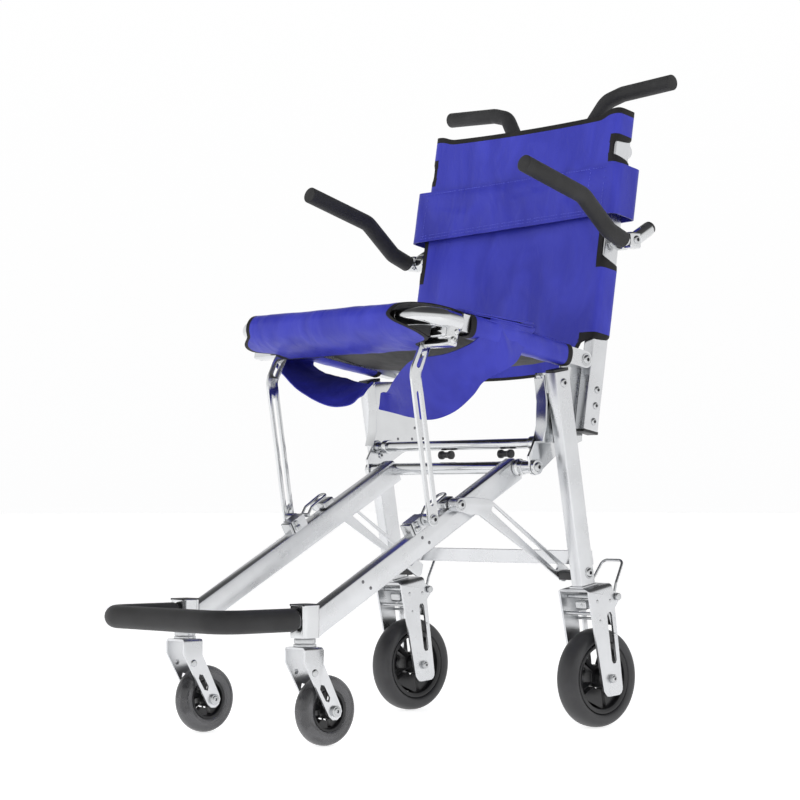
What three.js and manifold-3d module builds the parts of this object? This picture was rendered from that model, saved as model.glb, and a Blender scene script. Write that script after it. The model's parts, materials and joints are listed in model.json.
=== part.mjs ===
// Folding stair chair with four wheels, sling seat and sling back.
// Millimetres, +Z up, +Y towards the back of the chair, +X to the sitter's left.
// Working origin while building: y = 0 over the rear axles, z = 0 on the floor.
// The whole group is then moved so that the origin is the middle of the chair's footprint.
import * as THREE from "three";
import { mergeVertices } from "three/addons/utils/BufferGeometryUtils.js";
import Module from "manifold-3d";

const wasm = await Module();
wasm.setup();

// ---------- driving dimensions ----------
const GAP = 0.3;                   // clearance between touching pieces

const REAR_X = 192.5;              // rear wheels and legs, from the middle plane
const REAR_R = 69.7;               // rear tyre radius
const REAR_TYRE_HALF = 17;
const LEG_TILT = 10.03;             // degrees, leans forward going up
const LEG_X = 195.5, LEG_FORWARD = 6;   // leg centre line, ahead of the axle in its own frame
const LEG_W = 20, LEG_D = 29, LEG_WALL = 2;
const LEG_FROM = 131.8, LEG_TO = 437;
const FORK_HALF = 29.5, FORK_T = 3.5, FORK_TOP = 131.5;

const POST_X = 180.5, POST_Y = -7, POST_Z = 418;
const POST_TILT = 9.7;             // degrees, leans back going up
const POST_LEN = 470;

const D_Y = -100, D_Z = 366;       // front frame pivot
const A_Y = -33, A_Z = 517.6;      // seat pivot
const RAIL_X = 125.5, RAIL_W = 20, RAIL_H = 33, RAIL_TILT = 28.92;
const RAIL_FRONT = -432, RAIL_REAR = 1;
const CROSS_R = 9, UPPER_R = 7.5;
const UPPER_Y = -84, UPPER_Z = 400;

const C_Y = -279, C_Z = 293.5;       // seat link, lower pivot
const B_Y = -293, B_Z = 529.5;       // seat link, upper pivot
const F_Y = -228, F_Z = 313.5;       // brace pivot on the rail
const G_Y = -27, G_Z = 214;        // brace foot by the leg
const PLATE_X0 = 149, PLATE_X1 = 153;

const CAST_X = 127, CAST_Y = -485; // caster swivel axis
const FRONT_R = 46.1, FRONT_TRAIL = 34, FRONT_TYRE_HALF = 12.5;
const CFORK_HALF = 20.5, CFORK_T = 3.2;
const FB_Z = 165, FB_FRONT = -618;  // foot bar height and front run

const SEAT_TILT = 9.3;
const SEAT_BAR_X = 196, SEAT_BAR_W = 20, SEAT_BAR_H = 24;
const SEAT_LEN = 297;              // pivot to front tube
const SEAT_TUBE_R = 11;

const ARM_X = 225, ARM_PIVOT_Y = 42, ARM_PIVOT_Z = 690.5;
const WEB_X0 = 166.2, WEB_X1 = 170.2;  // gusset web
const GRIP_R = 12.2, PIPE_R = 8.0;

// ---------- materials ----------
const mat = (c, r, m) => new THREE.MeshStandardMaterial({ color: c, roughness: r, metalness: m });
const ALU = mat(0xd4d8dc, 0.32, 1.0);
const POLISHED = mat(0xdadde0, 0.16, 1.0);
const STEEL = mat(0xb9bcc0, 0.25, 1.0);
const BLACK = mat(0x17181a, 0.5, 0.0);
const FOAM = mat(0x1d1e20, 0.85, 0.0);
const TYRE = mat(0x2b2c2f, 0.55, 0.0);
const SMOKE = mat(0x3a3b3d, 0.25, 0.0);
const HUB = mat(0x1b1c1e, 0.45, 0.0);
const BLUE = mat(0x2f33a3, 0.4, 0.0);
const ANODISED = mat(0x9da1a6, 0.3, 1.0);

// ---------- small helpers ----------
const rad = (d) => d * Math.PI / 180;

function weld(geometry) {
  let g = geometry.index ? geometry.toNonIndexed() : geometry.clone();
  for (const k of Object.keys(g.attributes)) if (k !== "position") g.deleteAttribute(k);
  g = mergeVertices(g, 1e-4);
  const i = g.index.array, p = g.attributes.position, keep = [];
  let vol = 0;
  const a = new THREE.Vector3(), b = new THREE.Vector3(), c = new THREE.Vector3();
  for (let k = 0; k < i.length; k += 3) {
    if (i[k] === i[k + 1] || i[k + 1] === i[k + 2] || i[k] === i[k + 2]) continue;
    keep.push(i[k], i[k + 1], i[k + 2]);
    a.fromBufferAttribute(p, i[k]); b.fromBufferAttribute(p, i[k + 1]); c.fromBufferAttribute(p, i[k + 2]);
    vol += a.dot(b.cross(c));
  }
  if (vol < 0) for (let k = 0; k < keep.length; k += 3) [keep[k], keep[k + 1]] = [keep[k + 1], keep[k]];
  g.setIndex(keep);
  return g;
}

function toSolid(geometry) {
  const g = weld(geometry);
  return new wasm.Manifold(new wasm.Mesh({
    numProp: 3,
    vertProperties: new Float32Array(g.attributes.position.array),
    triVerts: new Uint32Array(g.index.array),
  }));
}

function toGeometry(solid) {
  const m = solid.getMesh();
  const g = new THREE.BufferGeometry();
  const n = m.vertProperties.length / m.numProp;
  const pos = new Float32Array(n * 3);
  for (let k = 0; k < n; k++) for (let j = 0; j < 3; j++) pos[3 * k + j] = m.vertProperties[m.numProp * k + j];
  g.setAttribute("position", new THREE.BufferAttribute(pos, 3));
  g.setIndex(Array.from(m.triVerts));
  return g;
}

const join = (...gs) => toGeometry(gs.map(toSolid).reduce((a, b) => a.add(b)));
const cut = (g, ...tools) => toGeometry(tools.map(toSolid).reduce((a, b) => a.subtract(b), toSolid(g)));

const box = (x0, x1, y0, y1, z0, z1) =>
  new THREE.BoxGeometry(x1 - x0, y1 - y0, z1 - z0).translate((x0 + x1) / 2, (y0 + y1) / 2, (z0 + z1) / 2);

// A cylinder along X, Y or Z between two stations.
function rod(axis, r, u, v, from, to, sides = 12) {
  const g = new THREE.CylinderGeometry(r, r, to - from, sides);   // along Y
  g.rotateY(Math.PI / sides);
  const mid = (from + to) / 2;
  if (axis === "x") return g.rotateZ(-Math.PI / 2).translate(mid, u, v);
  if (axis === "y") return g.translate(u, mid, v);
  return g.rotateX(Math.PI / 2).translate(u, v, mid);
}

// Outline given as (y, z) points, extruded between two x stations.
function plateX(points, x0, x1, holes = []) {
  const s = new THREE.Shape(points.map(([y, z]) => new THREE.Vector2(y, z)));
  for (const h of holes) s.holes.push(new THREE.Path(h.map(([y, z]) => new THREE.Vector2(y, z))));
  const g = new THREE.ExtrudeGeometry(s, { depth: x1 - x0, bevelEnabled: false, steps: 1 });
  g.applyMatrix4(new THREE.Matrix4().set(0, 0, 1, x0, 1, 0, 0, 0, 0, 1, 0, 0, 0, 0, 0, 1));
  return g;
}

const arc = (cy, cz, r, a0, a1, n) => {
  const out = [];
  for (let k = 0; k <= n; k++) {
    const t = rad(a0 + (a1 - a0) * k / n);
    out.push([cy + r * Math.cos(t), cz + r * Math.sin(t)]);
  }
  return out;
};
const ring = (cy, cz, r, n = 8) => arc(cy, cz, r, 0, 360 - 360 / n, n - 1);

// A round-ended slot or bar from p to q, in (y, z).
function capsule(p, q, r, n = 3) {
  const a = Math.atan2(q[1] - p[1], q[0] - p[0]) * 180 / Math.PI;
  return [...arc(q[0], q[1], r, a - 90, a + 90, n), ...arc(p[0], p[1], r, a + 90, a + 270, n)];
}

// Rounded rectangle centred on the origin.
function rrect(w, h, r, n = 2) {
  const pts = [];
  for (const [sx, sy, a] of [[1, 1, 0], [-1, 1, 90], [-1, -1, 180], [1, -1, 270]])
    for (const [x, y] of arc(sx * (w / 2 - r), sy * (h / 2 - r), r, a, a + 90, n)) pts.push([x, y]);
  return pts;
}

// Hollow rectangular tube along Z, section w (x) by d (y).
function tubeZ(w, d, wall, z0, z1, r = 2.5) {
  const s = new THREE.Shape(rrect(w, d, r).map(([x, y]) => new THREE.Vector2(x, y)));
  if (wall) s.holes.push(new THREE.Path(rrect(w - 2 * wall, d - 2 * wall, 0.6, 1).map(([x, y]) => new THREE.Vector2(x, y))));
  return new THREE.ExtrudeGeometry(s, { depth: z1 - z0, bevelEnabled: false }).translate(0, 0, z0);
}

// A curve that passes through given stations: straight runs need only their two ends.
class Stations extends THREE.Curve {
  constructor(points) { super(); this.points = points; }
  getPoint(t) {
    const n = this.points.length - 1, k = Math.min(Math.floor(t * n + 1e-9), n - 1);
    return this.points[k].clone().lerp(this.points[k + 1], t * n - k);
  }
  getPointAt(u) { return this.getPoint(u); }
  getSpacedPoints() { return this.points.map((p) => p.clone()); }
  getTangentAt(u) {
    const n = this.points.length - 1, k = Math.round(u * n), P = this.points;
    const a = k > 0 ? P[k].clone().sub(P[k - 1]).normalize() : null;
    const b = k < n ? P[k + 1].clone().sub(P[k]).normalize() : null;
    return a && b ? a.add(b).normalize() : (a || b);
  }
}

// A solid or hollow round tube along a curve of stations.
function sweep(curve, r, sides = 12, bore = 0) {
  const pts = [], hole = [];
  for (let k = 0; k < sides; k++) {
    const t = 2 * Math.PI * k / sides;
    pts.push(new THREE.Vector2(r * Math.cos(t), r * Math.sin(t)));
    hole.push(new THREE.Vector2(bore * Math.cos(t), bore * Math.sin(t)));
  }
  const s = new THREE.Shape(pts);
  if (bore) s.holes.push(new THREE.Path(hole));
  return new THREE.ExtrudeGeometry(s, { steps: curve.points.length - 1, bevelEnabled: false, extrudePath: curve });
}

// Straight runs joined by rounded bends, one station for about every 16 degrees of bend.
function bent(points, radius, per = 16) {
  const P = points.map((p) => new THREE.Vector3(...p));
  const out = [P[0]];
  for (let k = 1; k < P.length - 1; k++) {
    const a = P[k - 1].clone().sub(P[k]), b = P[k + 1].clone().sub(P[k]);
    const la = a.length(), lb = b.length();
    a.normalize(); b.normalize();
    const turn = Math.PI - a.angleTo(b);
    const back = Math.min(radius * Math.tan(turn / 2), 0.48 * la, 0.48 * lb);
    const r = back / Math.tan(turn / 2);
    const mid = a.clone().add(b).normalize();
    const centre = P[k].clone().addScaledVector(mid, Math.hypot(r, back));
    const from = P[k].clone().addScaledVector(a, back).sub(centre);
    const axis = from.clone().cross(P[k].clone().addScaledVector(b, back).sub(centre)).normalize();
    const n = Math.max(2, Math.ceil(turn * 180 / Math.PI / per));
    for (let j = 0; j <= n; j++) out.push(from.clone().applyAxisAngle(axis, turn * j / n).add(centre));
  }
  out.push(P[P.length - 1]);
  return new Stations(out);
}

// A turned piece about the X axis, profile as (radius, x) points that close on themselves or on the axis.
function turnedX(profile, segments = 28) {
  const g = new THREE.LatheGeometry(profile.map(([r, x]) => new THREE.Vector2(r, x)), segments);
  return g.rotateZ(-Math.PI / 2);
}

function mirrorX(g) {
  return weld(g.clone().applyMatrix4(new THREE.Matrix4().makeScale(-1, 1, 1)));
}

function piece(name, geometry, material) {
  const m = new THREE.Mesh(weld(geometry), material);
  m.name = name;
  m.geometry.computeVertexNormals();
  return m;
}

const chair = new THREE.Group();
const place = (parent, x, y, z, rx = 0) => {
  const g = new THREE.Group();
  g.position.set(x, y, z);
  g.rotation.x = rad(rx);
  parent.add(g);
  return g;
};

const SIDES = [["l", 1], ["r", -1]];
const side = (s, g) => (s > 0 ? g : mirrorX(g));

// ---------- wheels ----------
function tyre(R, rim, half, crown) {
  const p = [[rim, -half + 1.5]];
  for (let k = 0; k <= 4; k++) {
    const t = rad(-80 + 160 * k / 4);
    p.push([R - crown + crown * Math.cos(t), (half - 0.0) * Math.sin(t)]);
  }
  p.push([rim, half - 1.5]);
  p.push([rim, -half + 1.5]);
  return turnedX(p, 20);
}

function hub(rim, half, bore, boss, web, windows, wr0, wr1, span) {
  const p = [
    [bore, -half], [boss, -half], [boss, -web], [rim - 5, -web], [rim, -half + 5],
    [rim, half - 5], [rim - 5, web], [boss, web], [boss, half], [bore, half], [bore, -half],
  ];
  let g = turnedX(p, 16);
  const tools = [];
  for (let k = 0; k < windows; k++) {
    const a = 360 * k / windows;
    const pts = [...arc(0, 0, wr1, a - span / 2, a + span / 2, 1), ...arc(0, 0, wr0, a + span / 2.6, a - span / 2.6, 1)];
    tools.push(plateX(pts, -half - 2, half + 2));
  }
  return cut(g, ...tools);
}

for (const [tag, s] of SIDES) {
  // ----- rear leg assembly, in the leg's tilted frame with the axle at its origin -----
  const leg = place(chair, s * REAR_X, 0, REAR_R, LEG_TILT);

  const c = Math.cos(rad(LEG_TILT)), n = Math.sin(rad(LEG_TILT));
  const toLeg = (y, z) => [y * c + (z - REAR_R) * n, -y * n + (z - REAR_R) * c];
  const [gy, gz] = toLeg(G_Y, G_Z);
  let tube = tubeZ(LEG_W, LEG_D, LEG_WALL, LEG_FROM, LEG_TO);
  tube = join(tube, box(-(LEG_X - PLATE_X1 - 0.6), -LEG_W / 2 + 1, gy + LEG_FORWARD - 9, gy + LEG_FORWARD + 7, gz - 5, gz + 6));
  const legTube = place(leg, s * (LEG_X - REAR_X), -LEG_FORWARD, 0);
  legTube.add(piece(`rear_leg_${tag}`, side(s, tube), ALU));
  legTube.add(piece(`leg_cap_${tag}`, join(
    new THREE.ExtrudeGeometry(new THREE.Shape(rrect(20, 29, 2.5).map((p) => new THREE.Vector2(...p))), { depth: 4, bevelEnabled: false }).translate(0, 0, LEG_TO + GAP),
    box(-7.4, 7.4, -11.9, 11.9, LEG_TO - 12, LEG_TO + 1)), BLACK));

  // fork: two side plates under a top plate, with a lightening slot and two ears for the brake spindle
  const outline = [[-25, FORK_TOP], [-19, -14], ...arc(-9, -16, 8, 200, 270, 2), ...arc(10, -16, 10, 280, 360, 3), [24, 96], [33, 104], ...arc(30, 111, 6.5, -20, 100, 3), [24, 122], [24, FORK_TOP]];
  const slot = capsule([9.5, 24], [11, 88], 5, 3);
  const bore = ring(0, 0, 4.4);
  const spin = ring(30, 111, 3.3);
  const inner = FORK_HALF - FORK_T;
  leg.add(piece(`rear_fork_${tag}`, join(
    plateX(outline, inner, FORK_HALF, [slot, bore, spin]),
    plateX(outline, -FORK_HALF, -inner, [slot, bore, spin]),
    box(-FORK_HALF, FORK_HALF, -25, 24, FORK_TOP - FORK_T, FORK_TOP)), ALU));
  leg.add(piece(`rear_axle_${tag}`, join(
    rod("x", 4, 0, 0, -FORK_HALF - 4, FORK_HALF + 4),
    rod("x", 6.5, 0, 0, FORK_HALF + GAP, FORK_HALF + 5, 6),
    rod("x", 6.5, 0, 0, -FORK_HALF - 5, -FORK_HALF - GAP, 6)), STEEL));

  const wheel = place(leg, 0, 0, 0);
  wheel.add(piece(`rear_hub_${tag}`, hub(50, 20, 4.5, 13, 7, 5, 19, 43, 50), HUB));
  wheel.add(piece(`rear_tyre_${tag}`, tyre(REAR_R, 51.2, REAR_TYRE_HALF, 12), TYRE));

  // brake: a spindle in the fork's ears, a wire loop for the foot, and a shoe over the tyre
  const q = FORK_HALF - 6;
  const brake = place(leg, 0, 30, 111);
  const loop = bent([[q, 0, 0], [q, 9, 18], [q - 3, 31, 45], [-(q - 3), 31, 45], [-q, 9, 18], [-q, 0, 0]], 9, 34);
  const dist = Math.hypot(30, 111), aim = Math.atan2(-111, -30) + rad(26);
  const reach = dist - REAR_R - 1.2 - 4;
  const tip = [Math.cos(aim) * reach, Math.sin(aim) * reach];
  brake.add(piece(`brake_lever_${tag}`, join(
    rod("x", 2.9, 0, 0, -FORK_HALF - 1.5, FORK_HALF + 1.5, 10),
    rod("x", 5, 0, 0, -q - 2, q + 2, 10),
    plateX(capsule([0, 0], tip, 4, 3), -9, 9),
    sweep(loop, 2.1, 5)), STEEL));

  // ----- gusset: plate inside the leg that carries the post, the seat pivot and the frame pivot -----
  const front = [[-98, 489], [-93.5, 458], [-95, 424], [-101, 402], [-113, 381]];
  const gusset = [
    ...arc(D_Y, D_Z, 11.5, 150, 320, 6), [-64, 378], [-40, 392], [-4, 404], [-1, 440], [4, 500],
    ...arc(A_Y + 6, A_Z + 3, 15, 5, 150, 5), [-50, 500], [-96, 498], ...front];
  const spin2 = ring(D_Y, D_Z, 5.2), seatPin = ring(A_Y, A_Z, 4.4);
  const plate = plateX(gusset, WEB_X0, WEB_X1, [spin2, seatPin]);
  const flange = plateX([[-98, 494], ...front.slice(0, 4), [-98.2, 401], [-92, 424], [-90.5, 458], [-95, 494]], WEB_X1 - 0.5, LEG_X - 10 - GAP);
  const legBlock = box(WEB_X1 - 0.5, LEG_X - 10 - GAP, -80, -66, 400, 470);
  chair.add(piece(`gusset_${tag}`, side(s, join(plate, flange, legBlock)), POLISHED));

  // ----- back post -----
  const post = place(chair, s * POST_X, POST_Y, POST_Z, -POST_TILT);
  post.add(piece(`back_post_${tag}`, tubeZ(20, 30, 2, 0, POST_LEN).translate(0, 0, 0), ALU));

  // ----- push handle: bent tube from the back cross tube, with a foam sleeve -----
  const push = bent([[79, 112, 829], [80, 117, 878], [104, 124, 914], [134, 126.5, 922], [229, 125.4, 926.5]], 26, 24);
  chair.add(piece(`push_handle_${tag}`, side(s, join(sweep(push, PIPE_R - 0.7, 8), rod("y", 10, 79, 829, 104, 113, 10))), ALU));
  const pushFoam = bent([[80.2, 117.2, 881], [104, 124, 914], [134, 126.5, 922], [231.5, 125.3, 926.8]], 26, 24);
  chair.add(piece(`push_grip_${tag}`, side(s, sweep(pushFoam, GRIP_R - 0.8, 8, PIPE_R + 2)), FOAM));

  // ----- arm handle: S-bent tube in a clamp block that turns on the post -----
  const arm = place(chair, s * ARM_X, ARM_PIVOT_Y, ARM_PIVOT_Z);
  const rel = (y, z) => [0, y - ARM_PIVOT_Y, z - ARM_PIVOT_Z];
  const armPath = bent([rel(80, 711), rel(46, 691), rel(27, 688), rel(-7, 701), rel(-60, 746), rel(-176, 779)], 30, 24);
  arm.add(piece(`arm_handle_${tag}`, side(s, join(
    sweep(armPath, PIPE_R - 0.3, 8),
    box(-7.5, 9.5, -11.5, 11, -12, 11),
    rod("x", 9, 0, 0, -(ARM_X - POST_X - 10 - GAP - 0.2), -5, 10))), POLISHED));
  const armFoam = bent([rel(25, 688.8), rel(-7, 701), rel(-60, 746), rel(-178.5, 779.7)], 30, 24);
  arm.add(piece(`arm_grip_${tag}`, sweep(armFoam, GRIP_R, 8, PIPE_R + 2.6), FOAM));

  // ----- front rail, in the rail's tilted frame with the frame pivot at its origin -----
  const rail = place(chair, s * RAIL_X, D_Y, D_Z, RAIL_TILT);
  const rs = new THREE.Shape(rrect(RAIL_W, RAIL_H, 2.5).map((p) => new THREE.Vector2(...p)));
  rs.holes.push(new THREE.Path(rrect(RAIL_W - 4, RAIL_H - 4, 0.6, 1).map((p) => new THREE.Vector2(...p))));
  let rg = new THREE.ExtrudeGeometry(rs, { depth: RAIL_REAR - RAIL_FRONT, bevelEnabled: false });
  rg.rotateX(Math.PI / 2).translate(0, RAIL_REAR, -2.5);
  // saddle block on top of the rail that carries the fold latch
  rg = join(rg, box(-9.5, 9.5, -216, -190, RAIL_H / 2 - 3.5, RAIL_H / 2 + 14));
  rg = cut(rg, rod("x", CROSS_R + GAP, 0, 0, -20, 20, 12), box(-40, 40, -600, CAST_Y + 15.5 + GAP - D_Y, -400, 100).rotateX(rad(-RAIL_TILT)));
  rail.add(piece(`front_rail_${tag}`, rg, ALU));

  const latch = place(rail, 0, -182, RAIL_H / 2 + 7);
  const lp = bent([[-7, 0, 0], [-7, 12, 7], [-7, 46, 9], [7, 46, 9], [7, 12, 7], [7, 0, 0]], 6, 46);
  latch.add(piece(`latch_lever_${tag}`, join(rod("x", 3, 0, 0, -9, 9, 10), sweep(lp, 1.8, 5)), STEEL));

  // ----- front post with its cap end, above the caster -----
  const fp = place(chair, s * CAST_X, CAST_Y, 0);
  const ps = new THREE.Shape(rrect(31, 31, 7, 3).map((p) => new THREE.Vector2(...p)));
  let pg = new THREE.ExtrudeGeometry(ps, { depth: 43, bevelEnabled: false }).translate(0, 0, 141);
  pg = cut(pg, rod("z", 6.4, 0, 0, 130, 158, 10), rod("y", 11.6, 0, FB_Z, -30, -6.5, 10));
  fp.add(piece(`front_post_${tag}`, pg, POLISHED));

  // ----- caster: bent fork on a swivel stem, wheel trailing behind it -----
  const caster = place(chair, s * CAST_X, CAST_Y, 0);
  const ci = CFORK_HALF - CFORK_T;
  const cheek = [[-17, 130], [-17, 110], ...arc(FRONT_TRAIL, FRONT_R, 12, 215, 395, 5), [15, 108], [15, 130]];
  const chole = [ring(FRONT_TRAIL, FRONT_R, 4.4), capsule([12, 78], [22, 62], 4.2, 2), ring(0, 97, 4, 6)];
  caster.add(piece(`caster_fork_${tag}`, join(
    plateX(cheek, ci, CFORK_HALF, chole),
    plateX(cheek, -CFORK_HALF, -ci, chole),
    box(-CFORK_HALF, CFORK_HALF, -17, 15, 130 - CFORK_T, 130),
    rod("z", 11, 0, 0, 129.5, 137, 10), rod("z", 14, 0, 0, 134, 140.4, 10), rod("z", 6, 0, 0, 139, 157, 10),
    rod("x", 4.6, FRONT_TRAIL, FRONT_R, -CFORK_HALF - 3, CFORK_HALF + 3, 12),
    rod("x", 7, FRONT_TRAIL, FRONT_R, CFORK_HALF - 0.5, CFORK_HALF + 3.5, 12),
    rod("x", 7, FRONT_TRAIL, FRONT_R, -CFORK_HALF - 3.5, -CFORK_HALF + 0.5, 12)), ALU));
  const fw = place(caster, 0, FRONT_TRAIL, FRONT_R);
  fw.add(piece(`front_hub_${tag}`, hub(27, 14, 5, 10.5, 5, 6, 13, 21, 34), HUB));
  fw.add(piece(`front_tyre_${tag}`, tyre(FRONT_R, 27.9, FRONT_TYRE_HALF, 11), SMOKE));

  // ----- seat link: flat slotted bar with a dog-leg near the top -----
  const bend = [-312, 491];
  const linkOutline = (() => {
    const w = 9.5;
    const dir = (p, q) => { const l = Math.hypot(q[0] - p[0], q[1] - p[1]); return [(q[0] - p[0]) / l, (q[1] - p[1]) / l]; };
    const C = [C_Y, C_Z], B = [B_Y, B_Z];
    const d1 = dir(C, bend), d2 = dir(bend, B);
    const a1 = Math.atan2(d1[1], d1[0]) * 180 / Math.PI, a2 = Math.atan2(d2[1], d2[0]) * 180 / Math.PI;
    return [
      ...arc(C[0], C[1], w, a1 + 90, a1 + 270, 6),
      ...arc(bend[0], bend[1], w, a1 - 90, a2 - 90, 3),
      ...arc(B[0], B[1], w, a2 - 90, a2 + 90, 6),
      [bend[0] + w * Math.cos(rad((a1 + a2) / 2 + 90)), bend[1] + w * Math.sin(rad((a1 + a2) / 2 + 90))],
    ];
  })();
  const between = (p, q, t) => [p[0] + (q[0] - p[0]) * t, p[1] + (q[1] - p[1]) * t];
  const C = [C_Y, C_Z], B = [B_Y, B_Z];
  chair.add(piece(`seat_link_${tag}`, side(s, join(
    plateX(linkOutline, PLATE_X0, PLATE_X1, [
      capsule(between(C, bend, 0.11), between(C, bend, 0.86), 3.2, 3),
      capsule(between(bend, B, 0.22), between(bend, B, 0.7), 3, 3)]),
    rod("x", 8, C_Y, C_Z, RAIL_X + 10 + GAP, PLATE_X0 + 0.5, 10))), ALU));

  // ----- brace: slotted plate from the rail to the foot of the leg -----
  const F = [F_Y, F_Z];
  chair.add(piece(`brace_${tag}`, side(s, join(
    plateX([
      ...arc(F[0], F[1], 9.5, 90, 250, 6), [-213, 296.5], [-203, 301], [-190, 298.5], [-62, 227], [-40, 209.5], ...arc(-24, 213, 8.5, 250, 330, 3), [-14, 223],
      [-164, 316.5], [-174, 321], [-203, 323.5]],
      PLATE_X0, PLATE_X1, [capsule([-164, 307], [-40, 226], 4.6, 3)]),
    rod("x", 9, F_Y, F_Z, RAIL_X + 10 + GAP, PLATE_X0 + 0.5, 10))), ALU));

  // ----- seat side tube and cast corner, in the seat's tilted frame with the seat pivot at its origin -----
  const seat = place(chair, 0, A_Y, A_Z, -SEAT_TILT);
  const h = SEAT_BAR_H / 2;
  const barHole = [ring(0, 0, 4.2)];
  const bar = plateX([...arc(0, 0, h, -90, 90, 8), [-246, h], [-246, -h]], SEAT_BAR_X - 10, SEAT_BAR_X + 10, barHole);
  seat.add(piece(`seat_side_tube_${tag}`, side(s, join(bar, cut(rod("x", 9, 0, 0, WEB_X1 + 0.5, SEAT_BAR_X - 9.5, 10), rod("x", 4.2, 0, 0, 100, 300, 10)))), ALU));

  const bendPath = bent([[SEAT_BAR_X, -246 - GAP, 0], [SEAT_BAR_X, -SEAT_LEN, 0], [138, -SEAT_LEN, 0]], 30, 22);
  const st = rad(SEAT_TILT);
  const toSeat = (y, z) => [(y - A_Y) * Math.cos(st) - (z - A_Z) * Math.sin(st), (y - A_Y) * Math.sin(st) + (z - A_Z) * Math.cos(st)];
  const [by, bz] = toSeat(B_Y, B_Z);
  seat.add(piece(`seat_corner_${tag}`, side(s, join(
    sweep(bendPath, 13.5, 10),
    box(PLATE_X1 + 1, SEAT_BAR_X + 10, by - 8, by + 8, bz - 5, bz + 10),
    box(SEAT_BAR_X - 14, SEAT_BAR_X + 10, by - 10, by + 8, bz + 8, -2))), POLISHED));

  // ----- leg belt: a wide strap that hangs in a loop under the seat -----
  const belt = s > 0
    ? [[176, 517], [164, 494], [140, 468], [100, 447], [60, 440], [6, 446]]
    : [[176, 517], [156, 500], [120, 480], [80, 466], [40, 458], [6, 457]];
  const th = 3;
  const up = belt.map(([x, z]) => [x, z]);
  const dn = belt.slice().reverse().map(([x, z]) => [x, z - th]);
  const bs = new THREE.Shape([...up, ...dn].map(([x, z]) => new THREE.Vector2(x, z)));
  const bg = new THREE.ExtrudeGeometry(bs, { depth: 75, bevelEnabled: false });
  bg.applyMatrix4(new THREE.Matrix4().set(1, 0, 0, 0, 0, 0, 1, -280, 0, 1, 0, 0, 0, 0, 0, 1));
  chair.add(piece(`leg_belt_${tag}`, side(s, weld(bg)), BLUE));
}

// ---------- pieces that cross the chair ----------
chair.add(piece("upper_crossbar", rod("x", UPPER_R, UPPER_Y, UPPER_Z, -WEB_X0 + GAP, WEB_X0 - GAP, 12), POLISHED));
chair.add(piece("lower_crossbar", join(
  rod("x", CROSS_R, D_Y, D_Z, -WEB_X0 + 0.5, WEB_X0 - 0.5, 12),
  rod("x", 4.4, D_Y, D_Z, -174, 174, 10),
  rod("x", 8, D_Y, D_Z, WEB_X1 + 0.5, WEB_X1 + 5, 10),
  rod("x", 8, D_Y, D_Z, -WEB_X1 - 5, -WEB_X1 - 0.5, 10)), POLISHED));
for (const [tag, s] of SIDES) {
  const x = s > 0 ? 99 : -23;
  chair.add(piece(`spacer_${tag}`, turnedX([[0, -12], [6.3, -12], [6.3, -7], [4.6, -5], [4.6, 5], [6.3, 7], [6.3, 12], [0, 12]], 10)
    .translate(x, UPPER_Y - 2.5, UPPER_Z - UPPER_R - GAP - 6.4), BLACK));
}
const plateFrame = place(chair, 0, 0, REAR_R, LEG_TILT);
plateFrame.add(piece("rear_cross_plate", box(-203, 203, -LEG_FORWARD + LEG_D / 2 + GAP, -LEG_FORWARD + LEG_D / 2 + GAP + 3.5, 160, 180), ALU));
chair.add(piece("back_cross_tube", (() => {
  const z = 829, y = 94;
  return join(rod("x", 10, y, z, -172, 172, 10), box(168, 190, 80.2, 100, z - 9, z + 9), box(-190, -168, 80.2, 100, z - 9, z + 9));
})(), ALU));

// foot bar: U-shaped tube from post to post, with a foam sleeve over it
const fbPath = bent([[CAST_X, CAST_Y - 7, FB_Z], [CAST_X, FB_FRONT, FB_Z], [-CAST_X, FB_FRONT, FB_Z], [-CAST_X, CAST_Y - 7, FB_Z]], 34, 30);
chair.add(piece("foot_bar", sweep(fbPath, 10.8, 10), ALU));
const fbFoam = bent([[CAST_X, CAST_Y - 19, FB_Z], [CAST_X, FB_FRONT, FB_Z], [-CAST_X, FB_FRONT, FB_Z], [-CAST_X, CAST_Y - 19, FB_Z]], 34, 30);
chair.add(piece("foot_bar_grip", sweep(fbFoam, 15.2, 12, 12.9), FOAM));

// seat: front tube and sling
const seat = place(chair, 0, A_Y, A_Z, -SEAT_TILT);
seat.add(piece("seat_front_tube", rod("x", SEAT_TUBE_R, -SEAT_LEN, 0, -137.6, 137.6, 10), ALU));
const slingOutline = [[-26, 6], [-24, -6], [-70, -17], [-150, -20], [-220, -17], [-272, -12], [-286, -34], [-303, -34], ...arc(-302, 0, 19, 210, 95, 4), [-280, 15], [-150, 6]];
let sling = plateX(slingOutline, -182, 182);
sling = cut(sling,
  rod("x", SEAT_TUBE_R + 0.6, -SEAT_LEN, 0, -220, 220, 10),
  box(136.5, 260, -340, -243, -60, 60), box(-260, -136.5, -340, -243, -60, 60));
seat.add(piece("seat_sling", sling, BLUE));

// back: sling between the posts, and the chest strap in front of it
const back = place(chair, 0, POST_Y, POST_Z, -POST_TILT);
back.add(piece("backrest_sling", box(-WEB_X0 + 1, WEB_X0 - 1, -12, -4, 122, 470), BLUE));
back.add(piece("chest_strap", box(-211, 211, -23, -18.2, 312, 382), BLUE));

// The origin goes to the middle of the footprint, on the floor.
chair.updateMatrixWorld(true);
const extent = new THREE.Box3().setFromObject(chair, true);
chair.position.y = -(extent.min.y + extent.max.y) / 2;
chair.position.z = -extent.min.z;
chair.updateMatrixWorld(true);
export default chair;
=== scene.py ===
"""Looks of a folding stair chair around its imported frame. Millimetres in the helpers, metres in the scene."""
import bpy, bmesh, math, json
from mathutils import Vector, Matrix, noise

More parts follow.
